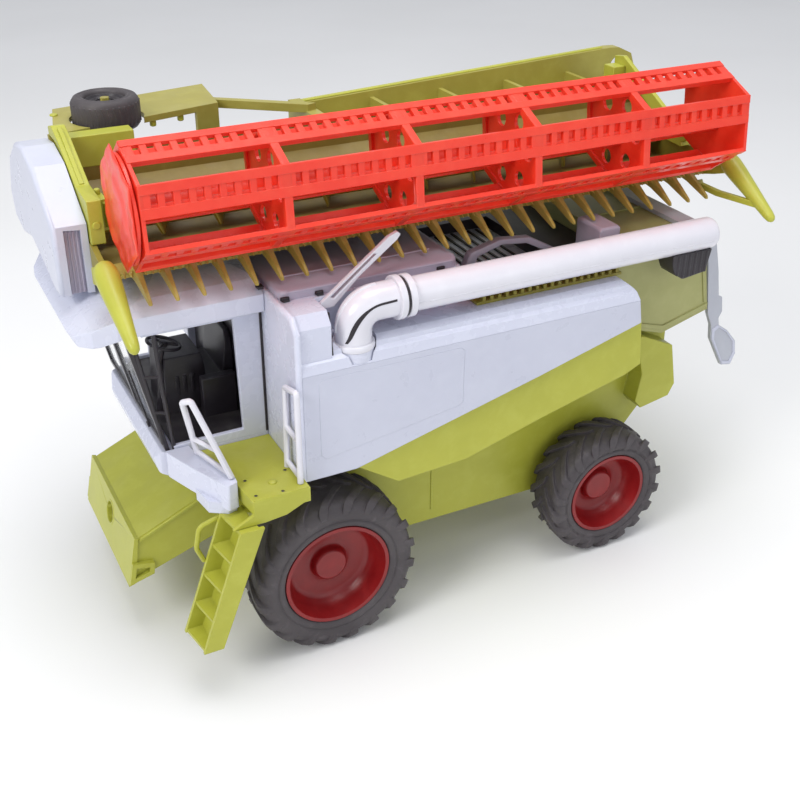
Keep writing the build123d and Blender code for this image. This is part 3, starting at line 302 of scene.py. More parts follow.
CAD_LOOK = {
    "chassis": GREEN, "skirt_left": GREEN, "skirt_right": GREEN, "side_panel_left": SHADED_SIDE_WHITE, "side_panel_right": SHADED_SIDE_WHITE,
    # engine_deck in the dark colour: a painted shadow filling the deck's well
    "front_wall": WHITE, "grain_tank": WHITE, "tank_lid": SHADOWED_MAUVE, "engine_deck": DARK_AND_SHADE, "deck_arch": GREY, "air_box": GREY,
    "rear_hood": HOOD, "rear_panel": PANEL_WHITE, "cab_floor": WHITE, "cab_shell": WHITE, "cab_roof": WHITE, "windscreen_frame": BLACK,
    "cab_glass": CLEAR, "cab_seat": BLACK, "steering_wheel": BLACK, "deck": GREEN, "ladder": GREEN, "ladder_loop": GREEN,
    "light_bar": WHITE, "handrail_front": TUBE_WHITE, "handrail_rear": TUBE_WHITE, "tank_lever": TUBE_WHITE, "auger_socket": WHITE,
    "front_axle": STEEL, "rear_axle": STEEL, "feeder_house": GREEN, "unloader_elbow": TUBE_WHITE, "unloader_tube": TUBE_WHITE,
    "unloader_spout": BLACK, "rim_front_left": RED, "rim_front_right": RED, "rim_rear_left": RED, "rim_rear_right": RED,
    "header_trough": SHADED_TROUGH, "header_end_plates": OLIVE, "header_cover": SHADED_SIDE_WHITE, "knife_bar": BRASS, "crop_dividers": GREEN,
    "reel_arms": GREEN, "carriage_frame": FRAME, "carriage_pin": OLIVE, "reel": ORANGE, "header_screw": OLIVE,
    "carriage_tyre": TYRE, "carriage_rim": BLACK, "tyre_front_left": TYRE, "tyre_front_right": TYRE, "tyre_rear_left": TYRE,
    "tyre_rear_right": TYRE,
}
for name, mat in CAD_LOOK.items():
    o = NODES[name]
    if not o.material_slots:
        o.data.materials.append(mat)
    for s in o.material_slots:
        s.material = mat


# ---------------------------------------------------------------------------
# Mesh helpers. A Builder collects closed solids in the object's millimetres.
# ---------------------------------------------------------------------------
class Builder:
    def __init__(self):
        self.bm = bmesh.new()

    def solid(self, rings, close=True):
        """Skin over rings of points, with both ends capped."""
        bm = self.bm
        vs = [[bm.verts.new(M(*p)) for p in ring] for ring in rings]
        n = len(vs[0])
        for a, b in zip(vs, vs[1:]):
            for i in range(n):
                j = (i + 1) % n
                bm.faces.new((a[i], a[j], b[j], b[i]))
        bm.faces.new(list(reversed(vs[0])))
        bm.faces.new(vs[-1])
        return self

    def prism(self, pts, axis, a, b):
        """Outline pts extruded along axis from a to b. pts are (x, z) for 'y', (y, z) for 'x', (x, y) for 'z'."""
        put = {"y": lambda p, t: (p[0], t, p[1]), "x": lambda p, t: (t, p[0], p[1]), "z": lambda p, t: (p[0], p[1], t)}[axis]
        return self.solid([[put(p, a) for p in pts], [put(p, b) for p in pts]])

    def box(self, x0, x1, y0, y1, z0, z1):
        return self.prism([(x0, y0), (x1, y0), (x1, y1), (x0, y1)], "z", z0, z1)

    def hull(self, pts):
        """Box from eight points: four of the bottom, four of the top."""
        return self.solid([pts[:4], pts[4:]])

    def tube(self, pts, r, seg=12, radii=None):
        """Round bar along points."""
        ps = [Vector(p) for p in pts]
        rings = []
        ref = None
        for i, p in enumerate(ps):
            t = (ps[min(i + 1, len(ps) - 1)] - ps[max(i - 1, 0)]).normalized()
            if ref is None:
                ref = t.cross(Vector((0.3, 0.2, 1.0))).normalized()
            ref = (ref - t * ref.dot(t)).normalized()
            other = t.cross(ref)
            rr = radii[i] if radii else r
            rings.append([tuple(p + ref * (rr * math.cos(2 * math.pi * k / seg)) + other * (rr * math.sin(2 * math.pi * k / seg)))
                          for k in range(seg)])
        return self.solid(rings)

    def lathe(self, profile, centre, axis, seg=48, closed=True):
        """Profile of (radius, distance along axis) turned about an axis through centre. A closed profile makes a ring."""
        bm = self.bm
        ax = Vector(axis).normalized()
        ref = ax.orthogonal().normalized()
        other = ax.cross(ref)
        c = Vector(centre)
        grid = []
        for k in range(seg):
            ang = 2 * math.pi * k / seg
            out = ref * math.cos(ang) + other * math.sin(ang)
            grid.append([bm.verts.new(M(*(c + out * r + ax * h))) for r, h in profile])
        n = len(profile)
        for k in range(seg):
            g, h = grid[k], grid[(k + 1) % seg]
            for i in range(n if closed else n - 1):
                j = (i + 1) % n
                bm.faces.new((g[i], g[j], h[j], h[i]))
        if not closed:
            bm.faces.new([grid[k][0] for k in range(seg)])
            bm.faces.new([grid[k][-1] for k in reversed(range(seg))])
        return self

    def make(self, name, mat, body, bevel=0.25, segments=2, smooth=32, replaces=(), subsurf=0):
        bm = self.bm
        bmesh.ops.remove_doubles(bm, verts=bm.verts, dist=1e-7)
        bmesh.ops.dissolve_degenerate(bm, edges=bm.edges, dist=1e-8)
        bmesh.ops.recalc_face_normals(bm, faces=bm.faces)
        me = bpy.data.meshes.new(name)
        bm.to_mesh(me)
        bm.free()
        me.materials.append(mat)
        me.shade_smooth()
        me.set_sharp_from_angle(angle=math.radians(smooth))
        ob = bpy.data.objects.new(name, me)
        bpy.context.scene.collection.objects.link(ob)
        if bevel:
            b = ob.modifiers.new("edges", "BEVEL")
            b.width = bevel / 1000.0
            b.segments = segments
            b.limit_method = "ANGLE"
            b.angle_limit = math.radians(smooth)
            b.harden_normals = False
            b.use_clamp_overlap = True
        if subsurf:
            s = ob.modifiers.new("smooth", "SUBSURF")
            s.levels = s.render_levels = subsurf
        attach(ob, body)
        if replaces:
            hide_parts(*replaces)
        return ob


# edges of the carried-over construction are rounded as moulded plastic is: width of the rounding in mm
SOFT_EDGES = {"light_bar": 1.4, "cab_floor": 1.4, "side_panel_left": 0.5, "side_panel_right": 0.5, "skirt_left": 0.4, "skirt_right": 0.4,
              "deck": 0.5, "air_box": 0.8, "deck_arch": 1.2, "rear_hood": 0.7, "cab_roof": 0.9, "rear_panel": 0.7, "ladder": 0.35,
              "grain_tank": 0.8, "chassis": 0.6, "reel_arms": 0.6, "cab_shell": 0.5, "tank_lever": 0.5}
for name, o in NODES.items():
    if o.hide_render or name in ("cab_glass",):
        continue
    w = o.modifiers.new("weld", "WELD")
    w.merge_threshold = 0.000002
    if name in SOFT_EDGES:
        v = o.modifiers.new("edges", "BEVEL")
        v.width = SOFT_EDGES[name] / 1000.0
        v.segments = 3
        v.limit_method = "ANGLE"
        v.angle_limit = math.radians(28)
        v.use_clamp_overlap = True

# ---------------------------------------------------------------------------
# Tyres: carcass with shoulder, side wall rings and tractor lugs
# ---------------------------------------------------------------------------
TYRES = [
    ("front_left", 93.0, 50.0, 40.0, 112.0, 32.0, 1, 20), ("front_right", 93.0, 50.0, 40.0, 112.0, 32.0, -1, 20),
    ("rear_left", -100.0, 42.5, 32.0, 104.5, 27.5, 1, 18), ("rear_right", -100.0, 42.5, 32.0, 104.5, 27.5, -1, 18),
]
for name, x, r, w, y_out, rim_r, side, lugs in TYRES:
    b = Builder()
    core = r - 1.7
    y_in = side * (y_out - w)
    prof = [(rim_r + 0.1, 3.6), (rim_r + 1.2, 1.9), (rim_r + 3.0, 1.2), (rim_r + 4.2, 1.3), (rim_r + 4.9, 2.1), (rim_r + 5.7, 1.5),
            (core - 7.0, 0.9), (core - 4.2, 1.4), (core - 1.8, 3.2), (core - 0.6, 6.0), (core, w * 0.32),
            (core + 0.2, w * 0.5), (core, w * 0.68), (core - 0.6, w - 6.0), (core - 1.8, w - 3.2), (core - 4.2, w - 1.4),
            (core - 7.0, w - 0.9), (rim_r + 5.7, w - 1.5), (rim_r + 4.9, w - 2.1), (rim_r + 4.2, w - 1.3), (rim_r + 3.0, w - 1.2),
            (rim_r + 1.2, w - 1.9), (rim_r + 0.1, w - 3.6)]
    b.lathe([(pr, side * ph) for pr, ph in prof], (x, y_in, r), (0, 1, 0), seg=120)
    # lugs: bars that start near the middle, run back to the shoulder and turn down the side wall
    def at(rad, h, ang):
        return (x + rad * math.cos(ang), y_in + side * h, r + rad * math.sin(ang))
    for k in range(lugs):
        for half in (0, 1):
            a0 = 2 * math.pi * (k + 0.5 * half) / lugs
            lead = 2 * math.pi / lugs
            # share across the half width, angle shift, height of the top, half thickness in mm
            path = [(0.06, 0.00, r, 2.2), (0.28, 0.26, r, 2.5), (0.50, 0.48, r, 2.7), (0.72, 0.68, r - 0.1, 2.9), (0.86, 0.80, r - 0.9, 3.0),
                    (0.935, 0.86, r - 2.6, 2.9), (0.972, 0.90, r - 5.0, 2.5), (0.982, 0.93, r - 7.6, 1.8)]
            rings = []
            for s, sh, top, ht in path:
                h = w * 0.5 + (1 if half else -1) * s * w * 0.5
                h = min(max(h, 0.6), w - 0.6)
                a = a0 - sh * lead * 1.25
                t = ht / r
                low = min(core - 0.6, top - 2.0) if s < 0.8 else top - 3.4
                inner = (-1 if half else 1) * 2.2 if s > 0.8 else 0
                rings.append([at(low, h + inner * 0.6, a - t * 1.2), at(top, h, a - t), at(top, h, a + t), at(low, h + inner * 0.6, a + t * 1.2)])
            b.solid(rings)
    ob = b.make("tyre_tread_" + name, TYRE, "wheel_" + name, bevel=0.35, segments=2, smooth=38, replaces=("tyre_" + name,))

# ---------------------------------------------------------------------------
# Reel: hexagonal plates with holes, ladder-like bats, shaft, ribbed end disc
# ---------------------------------------------------------------------------
RY, RZ, RR = 64.0, 268.0, 32.3
RLX, RRX, PLATES = 178.0, -181.0, 6
b = Builder()


TURN = 6.0          # how far the hexagon is turned from standing on a flat side


def hexpt(rad, deg):
    return (RY + rad * math.cos(math.radians(deg + TURN)), RZ + rad * math.sin(math.radians(deg + TURN)))


def plate(b, x0, x1, hole_r, outer):
    """Hexagonal plate whose six sectors each have a round hole; closed all round."""
    bm = b.bm
    seg = 12
    ring_c = outer * 0.56
    front = {}
    for xi in (x0, x1):
        front[xi] = {}
    def v(xi, key, y, z):
        d = front[xi]
        if key not in d:
            d[key] = bm.verts.new(M(xi, y, z))
        return d[key]
    for s in range(6):
        a0, a1 = 30 + 60 * s - 60, 30 + 60 * s
        mid = (a0 + a1) / 2
        cy, cz = hexpt(ring_c, mid)
        p0, p1 = hexpt(outer, a0), hexpt(outer, a1)
        # outline of the sector, with a point per hole segment, by direction from the hole's middle
        def outline(ang):
            dy, dz = math.cos(ang), math.sin(ang)
            best = 1e9
            tri = [(RY, RZ), p0, p1]
            for i in range(3):
                (ay, az), (by, bz) = tri[i], tri[(i + 1) % 3]
                ex, ez = by - ay, bz - az
                det = dy * (-ez) - dz * (-ex)
                if abs(det) < 1e-9:
                    continue
                t = ((ay - cy) * (-ez) - (az - cz) * (-ex)) / det
                u = (dy * (az - cz) - dz * (ay - cy)) / det
                if t > 0 and -1e-6 <= u <= 1 + 1e-6:
                    best = min(best, t)
            return best
        angs = [2 * math.pi * k / seg for k in range(seg)]
        for cor in ((RY, RZ), p0, p1):
            angs.append(math.atan2(cor[1] - cz, cor[0] - cy) % (2 * math.pi))
        angs = sorted(set(round(a, 6) for a in angs))
        loops = {}
        for xi in (x0, x1):
            hole, out = [], []
            for a in angs:
                hy, hz = cy + hole_r * math.cos(a), cz + hole_r * math.sin(a)
                t = outline(a)
                oy, oz = cy + t * math.cos(a), cz + t * math.sin(a)
                hole.append(v(xi, ("h", s, a), hy, hz))
                out.append(v(xi, ("o", round(oy, 3), round(oz, 3)), oy, oz))
            loops[xi] = (hole, out)
        n = len(angs)
        for k in range(n):
            j = (k + 1) % n
            for xi in (x0, x1):
                hole, out = loops[xi]
                if out[k] is out[j]:
                    bm.faces.new((hole[k], hole[j], out[k]))
                else:
                    bm.faces.new((hole[k], hole[j], out[j], out[k]))
            bm.faces.new((loops[x0][0][k], loops[x1][0][k], loops[x1][0][j], loops[x0][0][j]))
            # outer edge, only along the plate's rim
            o0, o1 = loops[x0][1], loops[x1][1]
            m0 = ((o0[k].co + o0[j].co) / 2)
            yy, zz = m0.y * 1000 - SY - RY, m0.z * 1000 - RZ
            along = yy * math.cos(math.radians(mid + TURN)) + zz * math.sin(math.radians(mid + TURN))
            if along > outer * math.cos(math.radians(30)) - 0.2:
                bm.faces.new((o0[k], o1[k], o1[j], o0[j]))


plate_x = [RLX - 2 + (RRX - RLX + 2) * i / (PLATES - 1) for i in range(PLATES)]
for i, px in enumerate(plate_x):
    if 0 < i < PLATES - 1:
        plate(b, px, px + 2.0, 4.4, RR - 0.6)
        # raised rim round the plate
        outer = [hexpt(RR - 0.5, 30 + 60 * s) for s in range(6)]
        inner = [hexpt(RR - 4.4, 30 + 60 * s) for s in range(6)]
        for s in range(6):
            t = (s + 1) % 6
            b.solid([[(px - 1.2, *outer[s]), (px + 3.2, *outer[s]), (px + 3.2, *inner[s]), (px - 1.2, *inner[s])],
                     [(px - 1.2, *outer[t]), (px + 3.2, *outer[t]), (px + 3.2, *inner[t]), (px - 1.2, *inner[t])]])
    else:
        b.solid([[(px, *hexpt(RR - 0.6, 30 + 60 * s)) for s in range(6)], [(px + 2.0, *hexpt(RR - 0.6, 30 + 60 * s)) for s in range(6)]])
# shaft inside its drum
b.tube([(RRX - 5.4, RY, RZ), (RLX + 3.4, RY, RZ)], 3.0, 20)
b.tube([(RRX + 2, RY, RZ), (RLX - 2, RY, RZ)], 7.8, 28)
# hexagonal end cap outside the arm: its rim waves, its face carries a raised hexagon and radial folds
cap_n = 48
def cap_ring(scale, h, wave):
    pts = []
    for k in range(cap_n):
        deg = 360.0 * k / cap_n + 30.0
        local = ((deg - 30.0) % 60.0) - 30.0
        edge = (RR - 0.7) * math.cos(math.radians(30)) / math.cos(math.radians(local))
        pts.append((RLX + h - wave * (0.5 + 0.5 * math.cos(math.radians(deg * 12))), *hexpt(edge * scale, deg)))
    return pts
b.solid([cap_ring(0.985, 3.1, 0.0), cap_ring(1.0, 3.5, 0.0), cap_ring(1.0, 4.2, 0.45), cap_ring(0.97, 4.6, 0.7), cap_ring(0.86, 4.6, 0.9),
         cap_ring(0.80, 4.1, 0.3), cap_ring(0.55, 4.0, 0.0), cap_ring(0.50, 4.6, 0.0), cap_ring(0.20, 4.6, 0.0)])
# bats: outer bar, inner rail and cross ribs, a ladder along each side of the hexagon
BW = 16.0
for i in range(6):
    c0, c1 = hexpt(RR, 30 + 60 * i), hexpt(RR, -30 + 60 * i)
    d = ((c1[0] - c0[0]) / RR, (c1[1] - c0[1]) / RR)
    mid = ((c0[0] + c1[0]) / 2 - RY, (c0[1] + c1[1]) / 2 - RZ)
    ml = math.hypot(*mid)
    inn = (-mid[0] / ml, -mid[1] / ml)
    def bp(along, deep):
        return (c0[0] + d[0] * along + inn[0] * deep, c0[1] + d[1] * along + inn[1] * deep)
    def strip(a0, a1, t0, t1, x0, x1):
        q = [bp(a0, t0), bp(a1, t0), bp(a1, t1), bp(a0, t1)]
        b.solid([[(x0, *p) for p in q], [(x1, *p) for p in q]])
    strip(0.05, 4.6, 0.0, 2.3, RRX + 0.2, RLX - 0.2)          # outer bar
    strip(11.0, BW, 0.15, 3.2, RRX + 0.2, RLX - 0.2)          # inner rail
    strip(9.6, 11.4, 1.5, 2.6, RRX + 0.2, RLX - 0.2)         # thin web behind the feet of the ribs
    for s in range(PLATES - 1):
        xa, xb = plate_x[s + 1] + 3.2, plate_x[s] - 1.2
        n = 9
        for k in range(n + 1):
            xc = xa + (xb - xa) * k / n
            half = 1.75 if 0 < k < n else 2.4
            strip(4.2, 11.4, 0.5, 3.2, xc - half, xc + half)
b.make("reel_assembly", ORANGE, "reel", bevel=0.22, segments=1, smooth=35, replaces=("reel",))
# bearing disc on the left arm's plate, between the reel's end plate and its cap
b = Builder()
b.lathe([(3.4, 0.5), (26.6, 0.5), (27.2, 0.9), (27.2, 2.4), (26.6, 2.8), (3.4, 2.8)], (RLX, RY, RZ), (1, 0, 0), seg=72)
b.make("reel_bearing_disc", ORANGE, "header", bevel=0.0, smooth=35)

# ---------------------------------------------------------------------------
# Header: screw with a wound flight, knife with its fingers, dividers, cover details
# ---------------------------------------------------------------------------
SCY, SCZ = 0.0, 240.0
PITCH, FIRST = 32.5, 146.3
b = Builder()
b.tube([(-193.9, SCY, SCZ), (190.9, SCY, SCZ)], 3.0, 16)
b.lathe([(0.0, 0.0), (5.8, 0.0), (6.5, 0.8), (6.5, 372.2), (5.8, 373.0), (0.0, 373.0)], (-188.0, SCY, SCZ), (1, 0, 0), seg=32, closed=False)
rings = []
steps = int((184.0 + 187.0) / PITCH * 30)
for k in range(steps + 1):
    xx = -187.0 + (184.0 + 187.0) * k / steps
    a = math.radians(-60.8 + 360.0 * (xx - FIRST) / PITCH)
    cy, cz = math.cos(a), math.sin(a)
    rings.append([(xx - 0.9, SCY + 5.8 * cy, SCZ + 5.8 * cz), (xx - 0.55, SCY + 12.4 * cy, SCZ + 12.4 * cz),
                  (xx + 0.55, SCY + 12.4 * cy, SCZ + 12.4 * cz), (xx + 0.9, SCY + 5.8 * cy, SCZ + 5.8 * cz)])
b.solid(rings)
b.make("screw_flight", OLIVE, "header_screw", bevel=0.0, smooth=30, replaces=("header_screw",))

b = Builder()
b.prism([(44, 229.0), (44, 232.3), (46.5, 232.8), (50, 230.9), (50.6, 228.4), (50, 226.6)], "x", -190.9, 187.9)
# raised sickle plate with fine serration
b.prism([(45.0, 231.6), (45.0, 233.5), (51.4, 231.1), (51.4, 229.6)], "x", -189.0, 186.0)
teeth = 104
for k in range(teeth):
    xc = 184.0 - 3.59 * k
    b.solid([[(xc - 1.55, 50.6, 229.2), (xc + 1.55, 50.6, 229.2), (xc + 1.3, 50.6, 231.2), (xc - 1.3, 50.6, 231.2)],
             [(xc - 0.25, 54.6, 228.2), (xc + 0.25, 54.6, 228.2), (xc + 0.25, 54.6, 228.8), (xc - 0.25, 54.6, 228.8)]])
for k in range(26):
    xc = 173.0 - 13.98 * k
    b.solid([[(xc - 3.1, 48.4, 226.4), (xc + 3.1, 48.4, 226.4), (xc + 2.5, 48.4, 232.0), (xc - 2.5, 48.4, 232.0)],
             [(xc - 2.5, 53.0, 225.3), (xc + 2.5, 53.0, 225.3), (xc + 1.7, 53.0, 230.6), (xc - 1.7, 53.0, 230.6)],
             [(xc - 1.7, 62.0, 221.9), (xc + 1.7, 62.0, 221.9), (xc + 1.1, 62.0, 226.0), (xc - 1.1, 62.0, 226.0)],
             [(xc - 1.1, 70.4, 218.9), (xc + 1.1, 70.4, 218.9), (xc + 0.8, 70.4, 221.0), (xc - 0.8, 70.4, 221.0)],
             [(xc - 0.6, 71.3, 218.9), (xc + 0.6, 71.3, 218.9), (xc + 0.5, 71.3, 220.0), (xc - 0.5, 71.3, 220.0)]])
b.make("knife_fingers", BRASS, "header", bevel=0.3, segments=2, smooth=30, replaces=("knife_bar",))

b = Builder()
CONE = [(63.2, 241.2, 1.2), (63.9, 241.1, 3.2), (65.6, 240.6, 4.9), (68.2, 239.5, 5.8), (71.3, 237.9, 6.15), (78.0, 234.3, 5.8), (88.0, 228.9, 4.9),
        (99.0, 222.9, 3.9), (107.5, 218.2, 3.2), (110.3, 216.7, 2.6), (111.6, 216.0, 1.6), (112.1, 215.7, 0.6)]
for xc in (192.5, -192.5):
    b.tube([(xc, y, z) for y, z, r in CONE], 0, 28, radii=[r for y, z, r in CONE])
    b.solid([[(xc - 3.2, 49.6, 226.5), (xc + 3.0, 49.6, 226.5), (xc + 3.0, 49.6, 235.5), (xc - 3.2, 49.6, 235.5)],
             [(xc - 3.4, 60.0, 229.5), (xc + 3.2, 60.0, 229.5), (xc + 3.2, 60.0, 239.8), (xc - 3.4, 60.0, 239.8)],
             [(xc - 3.0, 70.0, 233.0), (xc + 3.0, 70.0, 233.0), (xc + 3.0, 70.0, 241.0), (xc - 3.0, 70.0, 241.0)]])
b.prism([(-189.6, 50.3), (-182.5, 50.3), (-182.0, 72), (-189.6, 100), (-191.0, 100), (-191.0, 93), (-185.6, 72), (-185.6, 56)], "z", 220.2, 223.6)
b.make("divider_cones", GREEN, "header", bevel=0.35, segments=2, smooth=40, replaces=("crop_dividers",))

# inside of the cover's slot: grooved mauve floor, its tone painted shade of the recess
b = Builder()
b.box(194.7, 202.8, 25.9, 26.5, 213.2, 247.6)
for k in range(4):
    b.box(195.6 + 2.0 * k, 196.5 + 2.0 * k, 26.4, 27.3, 213.4, 247.0)
b.make("cover_slot_floor", SHADOWED_MAUVE, "header", bevel=0.15, segments=1, smooth=30)

# green flanges at both ends of the trough's rear wall
b = Builder()
FL = [(-34.65, 259.6), (-34.65, 267.85), (-42.65, 267.85), (-42.65, 276.9), (-31.85, 276.9), (-31.85, 259.6)]
b.prism(FL, "x", 146.85, 187.9)
b.prism(FL, "x", -190.9, -174.85)
b.make("flange_covers", GREEN, "header", bevel=0.4, segments=2, smooth=35)

# reel arm: pegs on the block and a rib on the beam
b = Builder()
b.lathe([(0.0, 0.0), (1.7, 0.0), (1.7, 3.0), (1.2, 3.6), (0.0, 3.6)], (181.2, 17.5, 260.4), (0, 0, 1), seg=20, closed=False)
b.lathe([(0.0, 0.0), (2.2, 0.0), (2.2, 0.8), (1.7, 1.2), (0.0, 1.2)], (186.8, 33.4, 250.5), (0, 1, 0.0), seg=24, closed=False)
b.solid([[(185.6, -30.0, 281.4), (188.0, -30.0, 281.4), (188.0, -30.0, 284.0), (185.6, -30.0, 284.0)],
         [(185.6, -21.0, 278.6), (188.0, -21.0, 278.6), (188.0, -21.0, 280.9), (185.6, -21.0, 280.9)],
         [(185.6, 10.5, 263.6), (188.0, 10.5, 263.6), (188.0, 10.5, 265.4), (185.6, 10.5, 265.4)]])
b.make("arm_details", GREEN, "header", bevel=0.2, segments=1, smooth=35)

# ---------------------------------------------------------------------------
# Carriage: wheel with a moulded groove, hub ring, nubs under the bracket's lip
# ---------------------------------------------------------------------------
CX, CY, CZ = 152.0, -71.0, 268.9
NUBS = ((126.9, -66.0), (109.2, -69.9))
b = Builder()
b.lathe([(11.6, 1.6), (12.6, 0.6), (15.4, 0.1), (17.6, 0.9), (18.9, 2.6), (19.3, 5.0), (19.45, 8.6), (19.45, 10.6), (19.3, 13.7), (18.9, 16.1),
         (17.6, 17.9), (15.9, 18.6), (14.9, 18.1), (14.4, 18.1), (13.6, 18.6), (12.4, 18.2), (11.6, 17.0)], (CX, CY, CZ), (0, 0, 1), seg=72)
for k in range(36):
    a = 2 * math.pi * k / 36
    def cp(rad, z, da):
        return (CX + rad * math.cos(a + da), CY + rad * math.sin(a + da), CZ + z)
    b.solid([[cp(18.6, 3.4, -0.035), cp(19.5, 3.4, -0.03), cp(19.5, 3.4, 0.03), cp(18.6, 3.4, 0.035)],
             [cp(18.9, 9.3, 0.035), cp(19.5, 9.3, 0.04), cp(19.5, 9.3, 0.10), cp(18.9, 9.3, 0.105)],
             [cp(18.6, 15.2, -0.035), cp(19.5, 15.2, -0.03), cp(19.5, 15.2, 0.03), cp(18.6, 15.2, 0.035)]])
b.make("carriage_tread", TYRE, "carriage_wheel", bevel=0.15, segments=1, smooth=40, replaces=("carriage_tyre",))
b = Builder()
b.lathe([(5.4, 10.5), (11.4, 10.5), (11.4, 16.2), (10.4, 16.6), (9.3, 15.0), (8.2, 15.7), (7.0, 14.6), (5.4, 15.2)], (CX, CY, CZ), (0, 0, 1), seg=48)
b.make("carriage_hub_rings", BLACK, "carriage_wheel", bevel=0.15, segments=1, smooth=40)
b = Builder()
for nx, ny in NUBS:
    b.lathe([(0.0, 0.0), (1.4, 0.0), (1.9, 0.5), (1.9, 4.4), (0.0, 4.4)], (nx, ny, 267.4), (0, 0, 1), seg=18, closed=False)
for nx, ny in ((178.5, -88.0),):
    b.lathe([(0.0, 0.0), (2.4, 0.0), (2.4, 0.7), (1.9, 1.1), (0.0, 1.1)], (nx, ny, 274.3), (0, 0, 1), seg=24, closed=False)
# stiffening ridge along the beam
b.solid([[(30.0, -84.0, 266.4), (30.0, -80.0, 266.4), (30.0, -80.6, 267.3), (30.0, -83.4, 267.3)],
         [(-200.0, -84.0, 277.2), (-200.0, -80.0, 277.2), (-200.0, -80.6, 278.0), (-200.0, -83.4, 278.0)]])
b.make("carriage_details", GREEN, "header", bevel=0.15, segments=1, smooth=35)
b = Builder()
for x0 in (-172, -146, -95, -70, -45, 6):
    b.box(x0 - 1.2, x0 + 1.2, -83.0, -80.2, 255.0, 256.2)
b.make("beam_ties", GREEN, "header", bevel=0.1, segments=1, smooth=35)

# ---------------------------------------------------------------------------
# Unloading auger: elbow in two shells, flanges with a clip, seam, ridged spout
# ---------------------------------------------------------------------------
UX, UY, UZ = 75.0, 96.0, 209.0
b = Builder()
BR = 13.0
path = [(UX, UY, 187.0), (UX, UY, 190.0)]
for k in range(13):
    a = math.pi / 2 * k / 12
    path.append((UX - BR + BR * math.cos(a), UY, UZ - BR + BR * math.sin(a)))
path += [(56.0, UY, UZ), (51.0, UY, UZ)]
b.tube(path, 9.95, 40)
b.lathe([(9.0, 0.0), (11.3, 0.0), (11.6, 0.5), (11.6, 2.6), (11.1, 3.4), (9.0, 3.6)], (UX, UY, 186.6), (0, 0, 1), seg=48)
b.lathe([(8.6, 0.0), (11.7, 0.0), (12.0, 0.4), (12.0, 3.4), (11.6, 3.8), (8.6, 3.8)], (48.1, UY, UZ), (1, 0, 0), seg=48)
# raised welt where both shells meet, along the outer and inner bend
for sgn in (1, -1):
    rr = []
    for k in range(17):
        a = math.pi / 2 * k / 16
        c = (UX - BR + BR * math.cos(a), UY, UZ - BR + BR * math.sin(a))
        n = (math.cos(a), 0.0, math.sin(a))
        o = 9.6 * sgn
        rr.append([(c[0] + n[0] * o, UY - 1.0, c[2] + n[2] * o), (c[0] + n[0] * o, UY + 1.0, c[2] + n[2] * o),
                   (c[0] + n[0] * (o + 1.0 * sgn), UY + 0.7, c[2] + n[2] * (o + 1.0 * sgn)),
                   (c[0] + n[0] * (o + 1.0 * sgn), UY - 0.7, c[2] + n[2] * (o + 1.0 * sgn))])
    b.solid(rr)
b.make("elbow_shells", TUBE_WHITE, "unloader", bevel=0.2, segments=2, smooth=35, replaces=("unloader_elbow",))
# dark strip of painted shade in the slot between the shells, on the outer side
b = Builder()
for side in (1,):
    rr = []
    for k in range(21):
        f = k / 20.0
        d = -4.2 + 32.6 * f
        bend = BR * math.pi / 2
        ac = min(max(d, 0.0), bend) / BR
        nx, nz = math.cos(ac), math.sin(ac)
        cx, cz = UX - BR + BR * nx - max(d - bend, 0.0), UZ - BR + BR * nz + min(d, 0.0)
        low = math.radians(12 + 34 * (1 - f) ** 4 + 5 * f * f)
        wide = math.radians(7.0 + 8.0 * math.sin(math.pi * min(1.0, 0.1 + 1.6 * f)))
        ring = []
        for da in (-wide / 2, wide / 2):
            for rad in (9.3, 10.12):
                th = low + da
                ring.append((cx + nx * rad * math.sin(th), UY + rad * math.cos(th), cz + nz * rad * math.sin(th)))
        rr.append([ring[0], ring[1], ring[3], ring[2]])
    b.solid(rr)
b.box(47.2, 48.2, 103.6, 107.0, 205.0, 211.0)
b.lathe([(9.2, 0.0), (10.9, 0.0), (10.9, 1.7), (9.2, 1.7)], (46.3, UY, UZ), (1, 0, 0), seg=48)
b.make("elbow_slot_painted_shade", DARK_AND_SHADE, "unloader", bevel=0.1, segments=1, smooth=35)
b = Builder()
b.lathe([(0.0, 0.0), (7.6, 0.0), (8.7, 0.5), (9.25, 1.7), (9.4, 3.4), (9.4, 202.0), (11.2, 202.0), (11.7, 202.5), (11.7, 205.6), (11.2, 206.1), (9.2, 206.1),
         (9.2, 211.0), (0.0, 211.0)], (-160.0, UY, UZ), (1, 0, 0), seg=64, closed=False)
# fine mould seam along the near side
b.solid([[(-155.0, UY + 9.25, UZ - 1.9), (-155.0, UY + 9.62, UZ - 1.7), (-155.0, UY + 9.62, UZ - 1.3), (-155.0, UY + 9.25, UZ - 1.1)],
         [(41.0, UY + 9.25, UZ - 1.9), (41.0, UY + 9.62, UZ - 1.7), (41.0, UY + 9.62, UZ - 1.3), (41.0, UY + 9.25, UZ - 1.1)]])
b.make("tube_and_seam", TUBE_WHITE, "unloader", bevel=0.0, smooth=35, replaces=("unloader_tube",))
b = Builder()
SP = [(-128.0, 201.5), (-156.8, 201.5), (-155.6, 196.0), (-154.0, 188.6), (-152.8, 187.4), (-138.0, 185.5), (-136.4, 185.8), (-130.6, 190.0), (-128.6, 194.6)]
b.prism(SP, "y", UY - 7.0, UY + 7.0)
for k in range(6):
    xc = -132.6 - 4.1 * k
    zt = 188.4 if k == 0 else 186.2 + 0.26 * k
    b.box(xc - 0.8, xc + 0.8, UY - 7.5, UY + 7.5, zt, 201.0)
b.make("spout_ridged", BLACK, "unloader", bevel=0.35, segments=2, smooth=30, replaces=("unloader_spout",))
